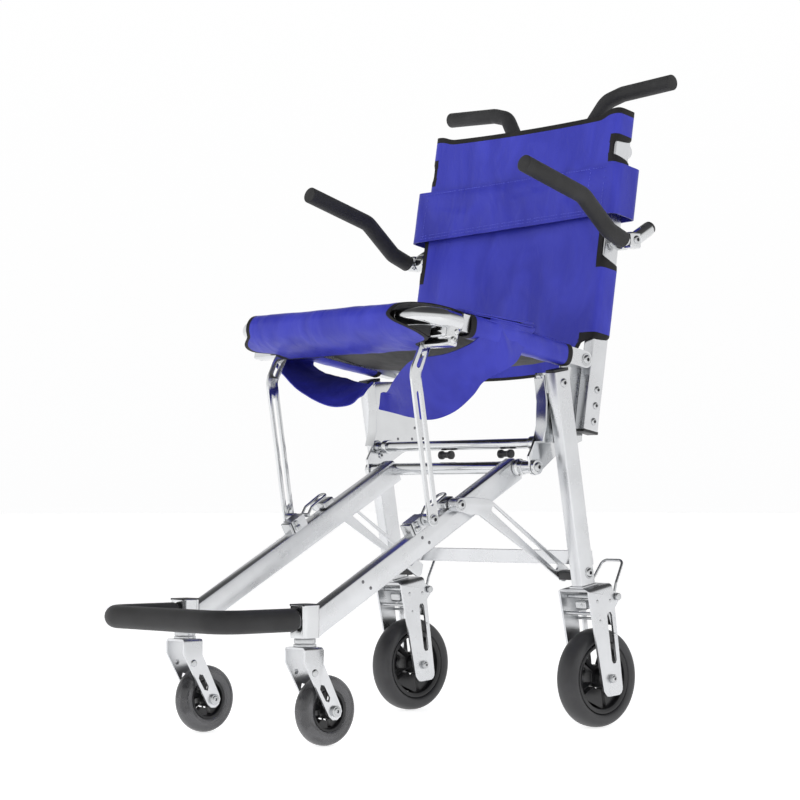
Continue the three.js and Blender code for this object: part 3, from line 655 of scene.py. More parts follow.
# ---------------------------------------------------------------- frame metal
for t, s in SIDES:
    L = LEG[t]
    Li = L.inverted()
    refine(f"rear_leg_{t}", ALU, 0.7)
    refine(f"leg_cap_{t}", BLACK, 0.8)
    refine(f"back_post_{t}", ALU, 0.7)
    refine(f"front_rail_{t}", ALU, 0.7)
    refine(f"gusset_{t}", ALUP, 0.7)
    refine(f"seat_side_tube_{t}", ALU, 1.2)
    PC, PK, PB, PF = (-279, 293.5), (-312, 491), (-293, 529.5), (-228, 313.5)
    mix = lambda p, q, k: (p[0] + (q[0] - p[0]) * k, p[1] + (q[1] - p[1]) * k)
    xa, xb = sorted((s * 149, s * 153))
    build(f"link_bar_{t}", [
        prism(strip([PC, PK, PB], 24, 9.5), xa, xb, [capsule(mix(PC, PK, 0.11), mix(PC, PK, 0.86), 3.2), capsule(mix(PK, PB, 0.25), mix(PK, PB, 0.62), 3.0)], 0.6),
        lathe(rounded([(0, 135.8), (8, 135.8), (8, 149.4), (0, 149.4)], 0.6), 32, "x", (0, *PC), s)], [ALUP], f"link_{t}", replaces=(f"seat_link_{t}",))
    bo = arc(*PF, 9.5, 90, 250, 14) + soften([(-213, 296.5), (-203, 301), (-190, 298.5), (-62, 227), (-40, 209.5)], 5)[5:-5] + arc(-24, 213, 8.5, 250, 330, 6) + [(-14, 223), (-164, 316.5), (-174, 321), (-203, 323.5)]
    build(f"brace_bar_{t}", [
        prism(bo, xa, xb, [capsule((-164, 307), (-40, 226), 4.6)], 0.6),
        lathe(rounded([(0, 135.8), (9, 135.8), (9, 149.4), (0, 149.4)], 0.6), 32, "x", (0, *PF), s)], [ALU], f"brace_{t}", replaces=(f"brace_{t}",))
    x0, x1 = sorted((-s * 39.4, -s * 7.4))
    build(f"brace_pad_{t}", [rbox(x0, x1, -11.1, 6.2, 141.2, 153.4, 1.6)], [BLACK], "rear_frame", mtx=L)
    bolt(f"axle_screw_{t}", (34.3, 0, 0), (1, 0, 0), "rear_frame", mtx=L, r=4.6, h=1.8, socket=2.1)
    bolt(f"axle_screw_in_{t}", (-34.3, 0, 0), (-1, 0, 0), "rear_frame", mtx=L, r=4.6, h=1.8, socket=2.1)
    # dark steel discs on both faces of the gusset stand for its holes: painted shade where the holes are
    for f in (1, -1):
        xw = s * (168.2 - 2.0 * f)
        build(f"gusset_hole_shade_{t}_{'in' if f > 0 else 'out'}", [dome((xw, y, z), (-s * f, 0, 0), 2.3, 0.5) for y, z in ((-50.5, 413), (-21.4, 413.5), (-15.8, 430.4))], [STEEL_DARK_AND_SHADE], "rear_frame")
    bolt(f"gusset_screw_{t}", (s * 166.2, -86, 387.7), (-s, 0, 0), "rear_frame", r=5.0, h=2.4, socket=2.0)
    refine(f"front_post_{t}", ALUP, 1.4, 3)
    refine(f"rear_axle_{t}", STEEL, 0.5)

    def shoulder(e, Li=Li):
        a, b = (Li @ (v.co / MM) for v in e.verts)
        return abs(a.z - 131.5) < 0.4 and abs(b.z - 131.5) < 0.4 and abs(abs(a.x) - 29.5) < 0.4 and abs(a.x - b.x) < 0.1
    refine(f"rear_fork_{t}", ALU, 0.7, wide=(shoulder, 7.0, 4))

    CF = M(s * 127, -485, 0)
    CFi = CF.inverted()

    def cshoulder(e, CFi=CFi):
        a, b = (CFi @ (v.co / MM) for v in e.verts)
        return abs(a.z - 130) < 0.4 and abs(b.z - 130) < 0.4 and abs(abs(a.x) - 20.5) < 0.4 and abs(a.x - b.x) < 0.1
    refine(f"caster_fork_{t}", ALU, 0.6, wide=(cshoulder, 4.5, 3), angle=52)
    bolt(f"caster_screw_{t}", (24.7, 34, 46.1), (1, 0, 0), f"caster_{t}", mtx=CF, r=5.4, h=1.6, socket=2.2)
    build(f"caster_stem_{t}", [
        lathe(rounded([(0, 130.2), (15.2, 130.2), (15.2, 133.5), (12, 134.2), (14.6, 135), (14.6, 140.2), (7, 140.5), (0, 140.5)], 0.6), 44, "z"),
        lathe(rounded([(0, -24.4), (8.2, -24.4), (8.2, -20.2), (0, -20.2)], 0.8), 6, "x", (0, 34, 46.1)),
        lathe(rounded([(0, 24.8), (7.4, 24.8), (7.4, 20.2), (0, 20.2)], 1.0), 28, "x", (0, 34, 46.1)),
        dome((21.0, 0, 97), (1, 0, 0), 5.0, 1.5), dome((-21.0, 0, 97), (-1, 0, 0), 5.0, 1.5)], [STEEL], f"caster_{t}", mtx=CF)

    # wheels
    R, h = 69.7, 17.0
    tp = [(51.4, -13.5), (53, -15.6), (57, -h), (62, -16.6), (66, -14.2), (68.6, -9.5), (R, -3.2), (R, 3.2), (68.6, 9.5), (66, 14.2), (62, 16.6), (57, h), (53, 15.6), (51.4, 13.5), (51.4, -13.5)]
    tp = [(v.x, v.y) for v in catmull([(a, b, 0) for a, b in tp[:-1]], 40)] + [tp[0]]
    build(f"tyre_rear_{t}", [lathe(tp, 80, "x")], [TYRE], f"rear_wheel_{t}", mtx=L, replaces=(f"rear_tyre_{t}",))
    win = []
    for k in range(5):
        a0 = 2 * math.pi * k / 5 + 0.35
        sp = 0.52
        ring = [(43.5 * math.cos(a0 + sp * (2 * j / 8 - 1)), 43.5 * math.sin(a0 + sp * (2 * j / 8 - 1))) for j in range(9)]
        ring += [(18.5 * math.cos(a0 + 0.42 * (1 - 2 * j / 4)), 18.5 * math.sin(a0 + 0.42 * (1 - 2 * j / 4))) for j in range(5)]
        win.append(ring)
    hubp = [lathe(rounded([(44, -13), (48.5, -14.5), (50.6, -14.5), (51.2, -10), (51.2, 10), (50.6, 14.5), (48.5, 14.5), (44, 13), (43.2, 8), (43.2, -8), (44, -13)], 0.8), 80, "x"),
            prism(circle(0, 0, 44.6, 60), -7, 7, win, 1.2),
            lathe(rounded([(4.5, -21), (11.5, -21), (13.5, -17), (14.5, -6), (14.5, 6), (13.5, 17), (11.5, 21), (4.5, 21), (4.5, -21)], 0.8), 40, "x")]
    build(f"hub_rear_{t}", hubp, [HUB], f"rear_wheel_{t}", mtx=L, replaces=(f"rear_hub_{t}",))

    W = M(s * 127, -451, 46.1)
    R = 46.1
    tp = [(28, -10), (30, -11.8), (34, -12.5), (39, -12.2), (43, -9.8), (45.4, -5.5), (R, -1.5), (R, 1.5), (45.4, 5.5), (43, 9.8), (39, 12.2), (34, 12.5), (30, 11.8), (28, 10), (28, -10)]
    tp = [(v.x, v.y) for v in catmull([(a, b, 0) for a, b in tp[:-1]], 34)] + [tp[0]]
    build(f"tyre_front_{t}", [lathe(tp, 72, "x")], [SMOKE], f"front_wheel_{t}", mtx=W, replaces=(f"front_tyre_{t}",))
    win = []
    for k in range(6):
        a0 = 2 * math.pi * k / 6 + 0.2
        ring = [(22.3 * math.cos(a0 + 0.34 * (2 * j / 6 - 1)), 22.3 * math.sin(a0 + 0.34 * (2 * j / 6 - 1))) for j in range(7)]
        ring += [(13.5 * math.cos(a0 + 0.27 * (1 - 2 * j / 4)), 13.5 * math.sin(a0 + 0.27 * (1 - 2 * j / 4))) for j in range(5)]
        win.append(ring)
    build(f"hub_front_{t}", [
        lathe(rounded([(24, -9.5), (27.4, -10.5), (27.9, -7), (27.9, 7), (27.4, 10.5), (24, 9.5), (23, 5), (23, -5), (24, -9.5)], 0.6), 64, "x"),
        prism(circle(0, 0, 24, 48), -4.5, 4.5, win, 0.8),
        lathe(rounded([(4.9, -15), (9, -15), (10.5, -12), (11, -4), (11, 4), (10.5, 12), (9, 15), (4.9, 15), (4.9, -15)], 0.6), 36, "x"),
        *[dome((s2 * 4.3, 11.9 * math.cos(a), 11.9 * math.sin(a)), (s2, 0, 0), 1.4, 1.0) for s2 in (1, -1) for a in (0.5, 2.6, 4.7)]],
        [HUB], f"front_wheel_{t}", mtx=W, replaces=(f"front_hub_{t}",))

    # brake: spindle, wire loop, shoe and return spring
    q = 23.5
    loop = bend([(q, 0, 0), (q, 9, 18), (q - 4.5, 34, 45), (-(q - 4.5), 34, 45), (-q, 9, 18), (-q, 0, 0)], 9, 8)
    BR = L @ Matrix.Translation(Vector((0, 30, 111)))
    aim = math.atan2(-111, -30) + math.radians(26)
    reach = math.hypot(30, 111) - 69.7 - 5.2
    tip = (math.cos(aim) * reach, math.sin(aim) * reach)
    cap_pts = []
    for c0, a0 in ((tip, aim), ((0, 0), aim + math.pi)):
        cap_pts += [(c0[0] + 4 * math.cos(a0 - math.pi / 2 + math.pi * j / 8), c0[1] + 4 * math.sin(a0 - math.pi / 2 + math.pi * j / 8)) for j in range(9)]
    coil = [Vector((x / 40 * 1.0 - 21, 6.2 * math.cos(x * 0.55), 6.2 * math.sin(x * 0.55))) for x in range(0, 420, 1)][::1]
    build(f"brake_loop_{t}", [
        lathe(rounded([(0, -31.5), (2.9, -31.5), (2.9, 31.5), (0, 31.5)], 0.6), 24, "x"),
        lathe(rounded([(0, 31.0), (5.2, 31.0), (5.2, 34.4), (0, 34.4)], 0.8), 24, "x"),
        lathe(rounded([(0, -34.4), (5.2, -34.4), (5.2, -31.0), (0, -31.0)], 0.8), 24, "x"),
        prism(cap_pts, -8.8, 8.8, (), 0.9), sweep(loop, 2.1, 14),
        lathe(rounded([(0, -12), (5, -12), (5, 12), (0, 12)], 0.8), 28, "x")], [STEEL], f"brake_{t}", mtx=BR, replaces=(f"brake_lever_{t}",))
    build(f"brake_spring_{t}", [sweep([Vector((-19 + 9 * k / 130, 4.6 * math.cos(k * 0.24), 4.6 * math.sin(k * 0.24))) for k in range(131)], 0.7, 8),
                                sweep([Vector((10 + 9 * k / 130, 4.6 * math.cos(k * 0.24), 4.6 * math.sin(k * 0.24))) for k in range(131)], 0.7, 8)],
          [STEEL], "rear_frame", mtx=BR)
    # cross pins and return pads inside the fork
    build(f"fork_pins_{t}", [
        lathe(rounded([(0, -25.4), (3, -25.4), (3, 25.4), (0, 25.4)], 0.4), 20, "x", (0, -8, 118)),
        lathe(rounded([(0, -25.4), (2.4, -25.4), (2.4, 25.4), (0, 25.4)], 0.4), 20, "x", (0, -18, 96)),
        lathe(rounded([(0, -25.4), (2.0, -25.4), (2.0, 25.4), (0, 25.4)], 0.4), 20, "x", (0, 4, 84)),
        rbox(-11, 11, -15, 3, 100, 113, 3)], [STEEL], "rear_frame", mtx=L)
    for k, (y, z, r) in enumerate([(-10, 112, 2.6), (16, 108, 2.6), (-9, 84, 2.2), (17, 60, 2.2)]):
        build(f"fork_rivet_{t}_{k}", [dome((29.4, y, z), (1, 0, 0), r, 1.0), dome((-29.4, y, z), (-1, 0, 0), r, 1.0)], [STEEL], "rear_frame", mtx=L)
    # fork neck under the leg
    build(f"fork_neck_{t}", [rbox(s * 3 - 13, s * 3 + 13, -22.5, 10.5, 131.2, 135, 1.3)], [ALU], "rear_frame", mtx=L)

    # push handle and its sleeve
    body = "rear_frame"
    push = bend([(s * 79, 112, 829), (s * 80, 117, 878), (s * 104, 124, 914), (s * 134, 126.5, 922), (s * 229, 125.4, 926.5)], 26, 5)
    build(f"push_tube_{t}", [sweep(push, 7.3, 28, 0.6), lathe(rounded([(0, 104), (10, 104), (10, 113), (0, 113)], 1.2), 32, "y", (s * 79, 0, 829))], [ALUP], body, replaces=(f"push_handle_{t}",))
    foam = bend([(s * 80.2, 117.2, 881), (s * 104, 124, 914), (s * 134, 126.5, 922), (s * 231.5, 125.3, 926.8)], 26, 5)
    build(f"push_sleeve_{t}", [sweep(foam, 11.6, 36, 1.6)], [FOAM], body, replaces=(f"push_grip_{t}",))

    # arm handle
    x = s * 225
    body = f"arm_{t}"
    tube = bend([(x, 80, 711), (x, 46, 691), (x, 27, 688), (x, -7, 701), (x, -60, 746), (x, -176, 779)], 30, 5)
    build(f"arm_tube_{t}", [sweep(tube, 7.7, 30, 0.6),
                            rbox(x - s * 7.5 if s > 0 else x - 9.5, x + 9.5 if s > 0 else x + 7.5, 30.5, 53, 678.5, 701.5, 3.2, 4),
                            lathe(rounded([(0, 190.8), (9, 190.8), (9, 219), (0, 219)], 0.8), 36, "x", (0, 42, 690.5), s),
                            lathe(rounded([(0, 197), (12, 197), (13.2, 200), (13.2, 212), (12, 216), (0, 216)], 1.0), 40, "x", (0, 42, 690.5), s),
                            ], [ALUP], body, replaces=(f"arm_handle_{t}",))
    build(f"arm_tail_{t}", [sweep([(x, 78.5, 710.1), (x, 50, 693.4)], 10.4, 32, 1.6)], [ALUP], body)
    build(f"arm_cap_{t}", [sweep([(x, 82.5, 712.5), (x, 77.0, 709.2)], 9.4, 30, 1.4)], [BLACK], body)
    bolt(f"arm_bolt_{t}", (x + s * 9.4, 42, 690.5), (s, 0, 0), body, r=6.0)
    foam = bend([(x, 25, 688.8), (x, -7, 701), (x, -60, 746), (x, -178.5, 779.7)], 30, 5)
    build(f"arm_sleeve_{t}", [sweep(foam, 12.2, 36, 1.8)], [FOAM], body, replaces=(f"arm_grip_{t}",))

    # latch lever: wire loop on a short spindle, in its block on the rail
    RL = RAIL[t]
    lp = bend([(-7, 0, 0), (-7, 12, 7), (-7, 46, 9), (7, 46, 9), (7, 12, 7), (7, 0, 0)], 6, 9)
    build(f"latch_loop_{t}", [lathe(rounded([(0, -9), (3, -9), (3, 9), (0, 9)], 0.5), 20, "x"), sweep(lp, 1.8, 12)], [STEEL], f"latch_{t}",
          mtx=RL @ Matrix.Translation(Vector((0, -182, 23.5))), replaces=(f"latch_lever_{t}",))

    # bolts
    bolt(f"post_bolt_a_{t}", (s * 190.6, 3, 14), (s, 0, 0), "rear_frame", mtx=POST, r=5.2, h=2.4, socket=2.2)
    bolt(f"post_bolt_b_{t}", (s * 190.6, 3, 37), (s, 0, 0), "rear_frame", mtx=POST, r=5.2, h=2.4, socket=2.2)
    bolt(f"post_bolt_c_{t}", (s * 190.6, 3, 60), (s, 0, 0), "rear_frame", mtx=POST, r=5.2, h=2.4, socket=2.2)
    bolt(f"seat_bolt_{t}", (s * 206.2, 0, 0), (s, 0, 0), "seat", mtx=SEAT, r=6.6, h=3.4, washer=9.0)
    bolt(f"leg_bolt_top_{t}", (s * 13.1, -6, 421), (s, 0, 0), "rear_frame", mtx=L, r=6.4, h=2.8)
    bolt(f"leg_bolt_low_{t}", (s * 13.1, -2, 151), (s, 0, 0), "rear_frame", mtx=L, r=6.6, h=3.0, washer=8.4)
    bolt(f"frame_bolt_{t}", (s * 175.2, -100, 366), (s, 0, 0), "front_frame", r=7.0, h=3.2)
    bolt(f"brace_bolt_{t}", (s * 153.1, -228, 313.5), (s, 0, 0), f"brace_{t}", r=6.8, h=3.0, washer=8.8)
    bolt(f"link_bolt_low_{t}", (s * 153.1, -279, 293.5), (s, 0, 0), f"link_{t}", r=6.2, h=3.0, washer=8.0)
    bolt(f"link_bolt_top_{t}", (s * 153.1, -293, 529.5), (s, 0, 0), f"link_{t}", r=5.4, h=0.9, socket=2.0)
    # rivets and ears on the rail
    build(f"rail_rivets_{t}", [dome((s * 10, y, z), (s, 0, 0), 2.4, 0.9) for y, z in ((-208, 4), (-200, -8), (-330, 6), (-322, -8))], [STEEL_DARK_AND_SHADE], "front_frame", mtx=RL)
    build(f"rail_saddle_{t}", [rbox(-9.2, 9.2, -222, -217, 12, 30, 1.2), rbox(-12.4, 12.4, -214, -204, 15, 22, 2.2), lathe(rounded([(0, -12.5), (3.4, -12.5), (3.4, 12.5), (0, 12.5)], 0.6), 20, "x", (0, -209, 26)),
                               rbox(-8.5, 8.5, -150, -128, 15.4, 25, 2.2)], [STEEL], "front_frame", mtx=RL)
    # front post trim and cap
    build(f"post_trim_{t}", [rbox(-14.6, 14.6, -14.6, 14.6, 182.6, 185.4, 1.2, 2)], [BLACK], "front_frame", mtx=CF)
    build(f"back_post_foot_{t}", [rbox(s * 180.5 - 10.2, s * 180.5 + 10.2, -15.2, 15.2, -3.2, 1.2, 1.0, 2)], [BLACK], "rear_frame", mtx=POST)
    build(f"back_post_top_{t}", [rbox(s * 180.5 - 9.8, s * 180.5 + 9.8, -14.8, 14.8, 466.5, 470.0, 1.0, 2)], [BLACK], "rear_frame", mtx=POST)
    # spacer knobs under the upper crossbar
    xk = 99 if s > 0 else -23
    build(f"knob_{t}", [lathe(rounded([(0, -12), (6.3, -12), (6.3, -7.4), (4.4, -5), (4.4, 5), (6.3, 7.4), (6.3, 12), (0, 12)], 0.9), 28, "x", (xk, -86.5, 385.8))], [BLACK], "rear_frame", replaces=(f"spacer_{t}",))

build("crossbar_upper", [*[lathe(rounded([(0, 148), (10.5, 148), (10.5, 158), (0, 158)], 1.0), 36, "x", (0, -84, 400), f) for f in (1, -1)], lathe(rounded([(0, -165.9), (7.5, -165.9), (7.5, 165.9), (0, 165.9)], 0.6), 48, "x", (0, -84, 400))], [ALUP], "rear_frame", replaces=("upper_crossbar",))
build("crossbar_lower", [lathe(rounded([(0, -165.7), (9, -165.7), (9, 165.7), (0, 165.7)], 0.8), 48, "x", (0, -100, 366)),
                         lathe(rounded([(0, -175), (4.4, -175), (4.4, 175), (0, 175)], 0.6), 24, "x", (0, -100, 366)),
                         *[lathe(rounded([(0, 170.7), (10.5, 170.7), (10.5, 175.2), (0, 175.2)], 0.8), 32, "x", (0, -100, 366), f) for f in (1, -1)],
                         *[lathe(rounded([(0, 136.2), (12.5, 136.2), (12.5, 141), (10, 143), (10, 150), (0, 150)], 0.8), 36, "x", (0, -100, 366), f) for f in (1, -1)],
                         ], [ALUP], "front_frame", replaces=("lower_crossbar",))
refine("rear_cross_plate", ALU, 0.8)
build("cross_plate_rivets", [dome((x, -18.95, 242), (0, -1, -0.17), 2.2, 0.8) for x in (-95, -42, 42, 95)], [STEEL_DARK_AND_SHADE], "rear_frame")
build("cross_tube_back", [lathe(rounded([(0, -172), (10, -172), (10, 172), (0, 172)], 1.0), 40, "x", (0, 94, 829)),
                          *[rbox(min(f * 150, f * 171), max(f * 150, f * 171), 80.2, 101, 819, 839, 2.4) for f in (1, -1)],
                          *[rbox(min(f * 166, f * 187), max(f * 166, f * 187), 79.4, 83.2, 818, 840, 1.2) for f in (1, -1)]], [ALU], "rear_frame", replaces=("back_cross_tube",))

fb = bend([(127, -492, 165), (127, -618, 165), (-127, -618, 165), (-127, -492, 165)], 34, 6)
build("foot_tube", [sweep(fb, 10.8, 32, 0.4)], [ALU], "front_frame", replaces=("foot_bar",))
fb = bend([(127, -504, 165), (127, -618, 165), (-127, -618, 165), (-127, -504, 165)], 34, 6)
build("foot_sleeve", [sweep(fb, 15.2, 44, 2.2)], [FOAM], "front_frame", replaces=("foot_bar_grip",))

# seat front tube and cast corners
o = N["seat_front_tube"]
build("front_tube", [lathe(rounded([(0, -137.6), (11, -137.6), (11, 137.6), (0, 137.6)], 0.8), 32, "x", (0, -297, 0))], [ALU], "seat", mtx=SEAT, replaces=("seat_front_tube",))
for t, s in SIDES:
    path = bend([(s * 196, -246.3, 0), (s * 196, -297, 0), (s * 138, -297, 0)], 30, 5)
    parts = [sweep(path, 13.4, 40, 1.0, r_fn=lambda u: 13.4 - 1.6 * u)]
    by, bz = -258.5, -30.3
    x0, x1 = sorted((s * 154, s * 206))
    parts.append(rbox(x0, x1, by - 8, by + 8, bz - 5, bz + 10, 3, 4))
    x0, x1 = sorted((s * 182, s * 206))
    parts.append(rbox(x0, x1, by - 11, by + 9, bz + 4, -1, 4, 4))
    x0, x1 = sorted((s * 172, s * 201))
    parts.append(rbox(x0, x1, by - 16, by + 4, bz + 6, -6, 4, 4))
    parts += [dome((s * 206, by - 1, bz + 3), (s, 0, 0), 5.4, 2.2), dome((s * 206, by + 3, bz + 15), (s, 0, 0), 4.2, 2.0)]
    build(f"corner_cast_{t}", parts, [ALUP], "seat", mtx=SEAT, replaces=(f"seat_corner_{t}",))
    bolt(f"corner_bolt_{t}", (s * 206, by + 1, bz + 3), (s, 0, 0), "seat", mtx=SEAT, r=4.2, h=2.6, socket=1.8)
    bolt(f"corner_bolt_b_{t}", (s * 197, by - 9, bz + 14), (s * 0.9, -0.4, 0), "seat", mtx=SEAT, r=3.4, h=3.6, socket=1.5)

# ---------------------------------------------------------------- backrest
ARC_F, ARC_SIDE, ARC_BACK = 189.8, 33.6, 26.0


def back_pt(sv, zl):
    """Point on the wrapped back sling at signed arc length sv from the middle."""
    a, f = abs(sv), (1 if sv >= 0 else -1)
    sag = 7.0 * max(0.0, 1 - (min(a, 170) / 170) ** 2) * min(1, max(0, (470 - zl) / 90)) * (0.6 + 0.4 * math.sin(math.pi * min(1, max(0, (zl - 60) / 410))))
    if a <= ARC_F - 4:
        return (f * a, -17.0 + sag, zl)
    b = a - (ARC_F - 4)
    r = 4.0
    q = r * math.pi / 2
    if b < q:
        th = b / r
        return (f * (ARC_F - 4 + r * math.sin(th)) - 0, -17.0 + r * (1 - math.cos(th)), zl)
    b -= q
    if b < 26:
        return (f * ARC_F, -13 + b, zl)
    b -= 26
    if b < q:
        th = b / r
        return (f * (ARC_F - 4 + r * math.cos(th)), 13 + r * math.sin(th), zl)
    b -= q
    return (f * (ARC_F - 4 - b), 17.0, zl)


ARC_F = 192.4
FULL = ARC_F - 4 + 4 * math.pi + 26 + 22


def smooth(a, b, v):
    t = min(1, max(0, (v - a) / (b - a)))
    return t * t * (3 - 2 * t)


CUTS = ((244, 330, 12, 9, 187.5), (400, 427, 5, 5, 186.5))
LOWCUT = 133


def half(zl):
    w = FULL
    for z0, z1, e0, e1, deep in CUTS:
        k = smooth(z0 - e0, z0 + e0, zl) * (1 - smooth(z1 - e1, z1 + e1, zl))
        w = w * (1 - k) + deep * k
    k = 1 - smooth(LOWCUT - 7, LOWCUT + 7, zl)
    return w * (1 - k) + (152 + 16 * smooth(96, LOWCUT, zl)) * k


zs = []
z = 84.0
while z < 470:
    zs.append(z)
    near = min(abs(z - c) for c in (LOWCUT, 244, 330, 400, 427))
    z += 1.9 if near < 16 else 6.0
zs = zs[:1] + [zs[0] + 4.5] + zs[1:-1] + [466.0, 470.0]
zs = sorted(set(zs))
TAPE_W = 7.0
rows, US = [], []
for zl in zs:
    w = half(zl)
    b1, b2 = min(150.0, w - 14), min(180.0, w - TAPE_W)
    right = [b1 + (b2 - b1) * k / 5 for k in range(1, 6)] + [b2 + (w - b2) * k / 12 for k in range(1, 13)]
    us = [-u for u in reversed(right)] + [-b1 + 2 * b1 * k / 44 for k in range(45)] + right
    US.append(us)
    row = []
    for u in us:
        x, y, zz = back_pt(u, zl)
        top = smooth(430, 470, zl) * (8.0 * smooth(156, 178, x) + 6.0 * smooth(150, 180, -x) - 7.0 + 2.5 * (abs(x) / 180) ** 2)
        low = (1 - smooth(84, 120, zl)) * (-8 * (1 - (min(abs(x), 150) / 150) ** 2))
        row.append((x, y, zz + top + low))
    rows.append(row)
nr, nc = len(rows), len(rows[0])
wide_at = [half(z) < FULL - 30 for z in zs]


def bk(i, j):
    if i >= nr - 3 or i <= 0:
        return True
    z = (zs[i] + zs[i + 1]) / 2
    u = abs(US[i][j] + US[i][j + 1] + US[i + 1][j] + US[i + 1][j + 1]) / 4
    for z0, z1, e0, e1, deep in CUTS:
        if z0 - TAPE_W - 1 < z < z1 + TAPE_W + 1 and u > 180:
            return True
    return z < LOWCUT + TAPE_W + 1 and u > min(162.0, half(z) - TAPE_W)


def bpin(i, j):
    x = abs(rows[i][j][0])
    return (1 - smooth(110, 168, x)) * (1 - smooth(440, 466, zs[i]))


back = grid("back_sling", rows, [BLUE, TAPE], "rear_frame", POST, wrinkle=1.6, wscale=0.015, black=bk, pin=bpin)
pins = {}
for i in range(nr):
    for j in range(nc):
        if abs(rows[i][j][0]) > 160 or j < 1 or j > nc - 2:
            pins[i * nc + j] = 1.0
settle(back, pins, frames=16, cap=3.0, shrink=0.004, gravity=0.5)
finish_sheet(back, "rear_frame", 1.6, 1, ("backrest_sling",))

build("panel_grommet", [lathe(rounded([(2.4, -20.5), (5.2, -20.5), (5.2, -9.5), (2.4, -9.5), (2.4, -20.5)], 0.6), 28, "y", (-5, 0, 95))], [STEEL], "rear_frame", mtx=POST)
# ---------------------------------------------------------------- chest strap, a wide loop round both posts
def strap_pt(u, zl, out=210.2):
    """u from 0 to 1 round the loop, seen from above, starting at the middle of the back."""
    r = 8.0
    y0, y1 = -25.5, 22.0
    straight, side = 2 * (out - r), (y1 - y0) - 2 * r
    total = 2 * straight + 2 * side + 2 * math.pi * r
    d = u * total
    segs = [("l", (0, y1), (out - r, y1)), ("a", (out - r, y1 - r), 90, 0), ("l", (out, y1 - r), (out, y0 + r)), ("a", (out - r, y0 + r), 0, -90),
            ("l", (out - r, y0), (-(out - r), y0)), ("a", (-(out - r), y0 + r), -90, -180), ("l", (-out, y0 + r), (-out, y1 - r)), ("a", (-(out - r), y1 - r), 180, 90), ("l", (-(out - r), y1), (0, y1))]
    for sg in segs:
        if sg[0] == "l":
            (ax, ay), (bx, by) = sg[1], sg[2]
            ln = math.hypot(bx - ax, by - ay)
            if d <= ln or sg is segs[-1]:
                k = min(1, d / ln)
                return ax + (bx - ax) * k, ay + (by - ay) * k, zl, total
            d -= ln
        else:
            (cx, cy), a0, a1 = sg[1], sg[2], sg[3]
            ln = math.pi * r / 2
            if d <= ln:
                a = math.radians(a0 + (a1 - a0) * d / ln)
                return cx + r * math.cos(a), cy + r * math.sin(a), zl, total
            d -= ln


def strap_z(x, v):
    lo_z, hi_z = 306.5 + 5.5 * x / 212, 383.7 + 2.7 * x / 212
    return lo_z + (hi_z - lo_z) * v


rows = []
NZ, NU = 15, 190
for i in range(NZ):
    v = i / (NZ - 1)
    row = []
    for j in range(NU):
        x, y, zl, total = strap_pt(j / (NU - 1), 0)
        zl = strap_z(x, v)
        front = y < -20
        if front:
            belly = (1 - (abs(x) / 212) ** 2)
            y += -1.5 * math.sin(math.pi * v) * belly + (1 - v) * (-3.0) * belly
            y += 1.3 * noise.noise(Vector((x * 0.035, v * 1.3, 4.0))) * math.sin(math.pi * v) * 1.6
        row.append((x, y, zl))
    rows.append(row)
strap = grid("chest_band", rows, [BLUE_D, TAPE], "rear_frame", POST, wrinkle=0.9, wscale=0.04, pin=lambda i, j: 1 - smooth(165, 195, abs(rows[i][j][0])))
pins = {i * NU + j: 1.0 for i in range(NZ) for j in range(NU) if abs(rows[i][j][0]) > 196 or rows[i][j][1] > 0 or j in (0, NU - 1)}
settle(strap, pins, frames=12, cap=3.5, shrink=0.004, gravity=0.6)
finish_sheet(strap, "rear_frame", 2.2, 1, ("chest_strap",))
strap_pt(0, 0)[3] / 1000


def stitches(name, line, body, mtx, length=3.0, gap=1.8, r=0.32, mat=THREAD):
    """A row of thread stitches along a line of points, standing just proud of the cloth."""
    parts = []
    P = [Vector(p) for p in line]
    d = 0.0
    for a, b in zip(P, P[1:]):
        ln = (b - a).length
        tdir = (b - a).normalized() if ln > 1e-6 else Vector((1, 0, 0))
        while d < ln:
            c = a + tdir * d
            e = a + tdir * min(ln, d + length)
            if (e - c).length > 0.8:
                parts.append(sweep([c, e], r, 5))
            d += length + gap
        d -= ln
    if parts:
        build(name, parts, [mat], body, mtx=mtx)


def strap_face(x, v, dy=-1.7):
    belly = 1 - (abs(x) / 212) ** 2
    y = -25.5 - 1.5 * math.sin(math.pi * v) * belly - (1 - v) * 3.0 * belly + 2.08 * noise.noise(Vector((x * 0.035, v * 1.3, 4.0))) * math.sin(math.pi * v)
    return (x, y + dy, strap_z(x, v))


for nm, v in (("low", 0.05), ("low_b", 0.11), ("top", 0.94)):
    stitches(f"strap_stitch_{nm}", [strap_face(-188 + 376 * k / 50, v) for k in range(51)], "rear_frame", POST)
for nm, x in (("near", 186), ("near_b", 158), ("far", -184)):
    stitches(f"strap_stitch_{nm}", [strap_face(x, 0.08 + 0.84 * k / 20) for k in range(21)], "rear_frame", POST)

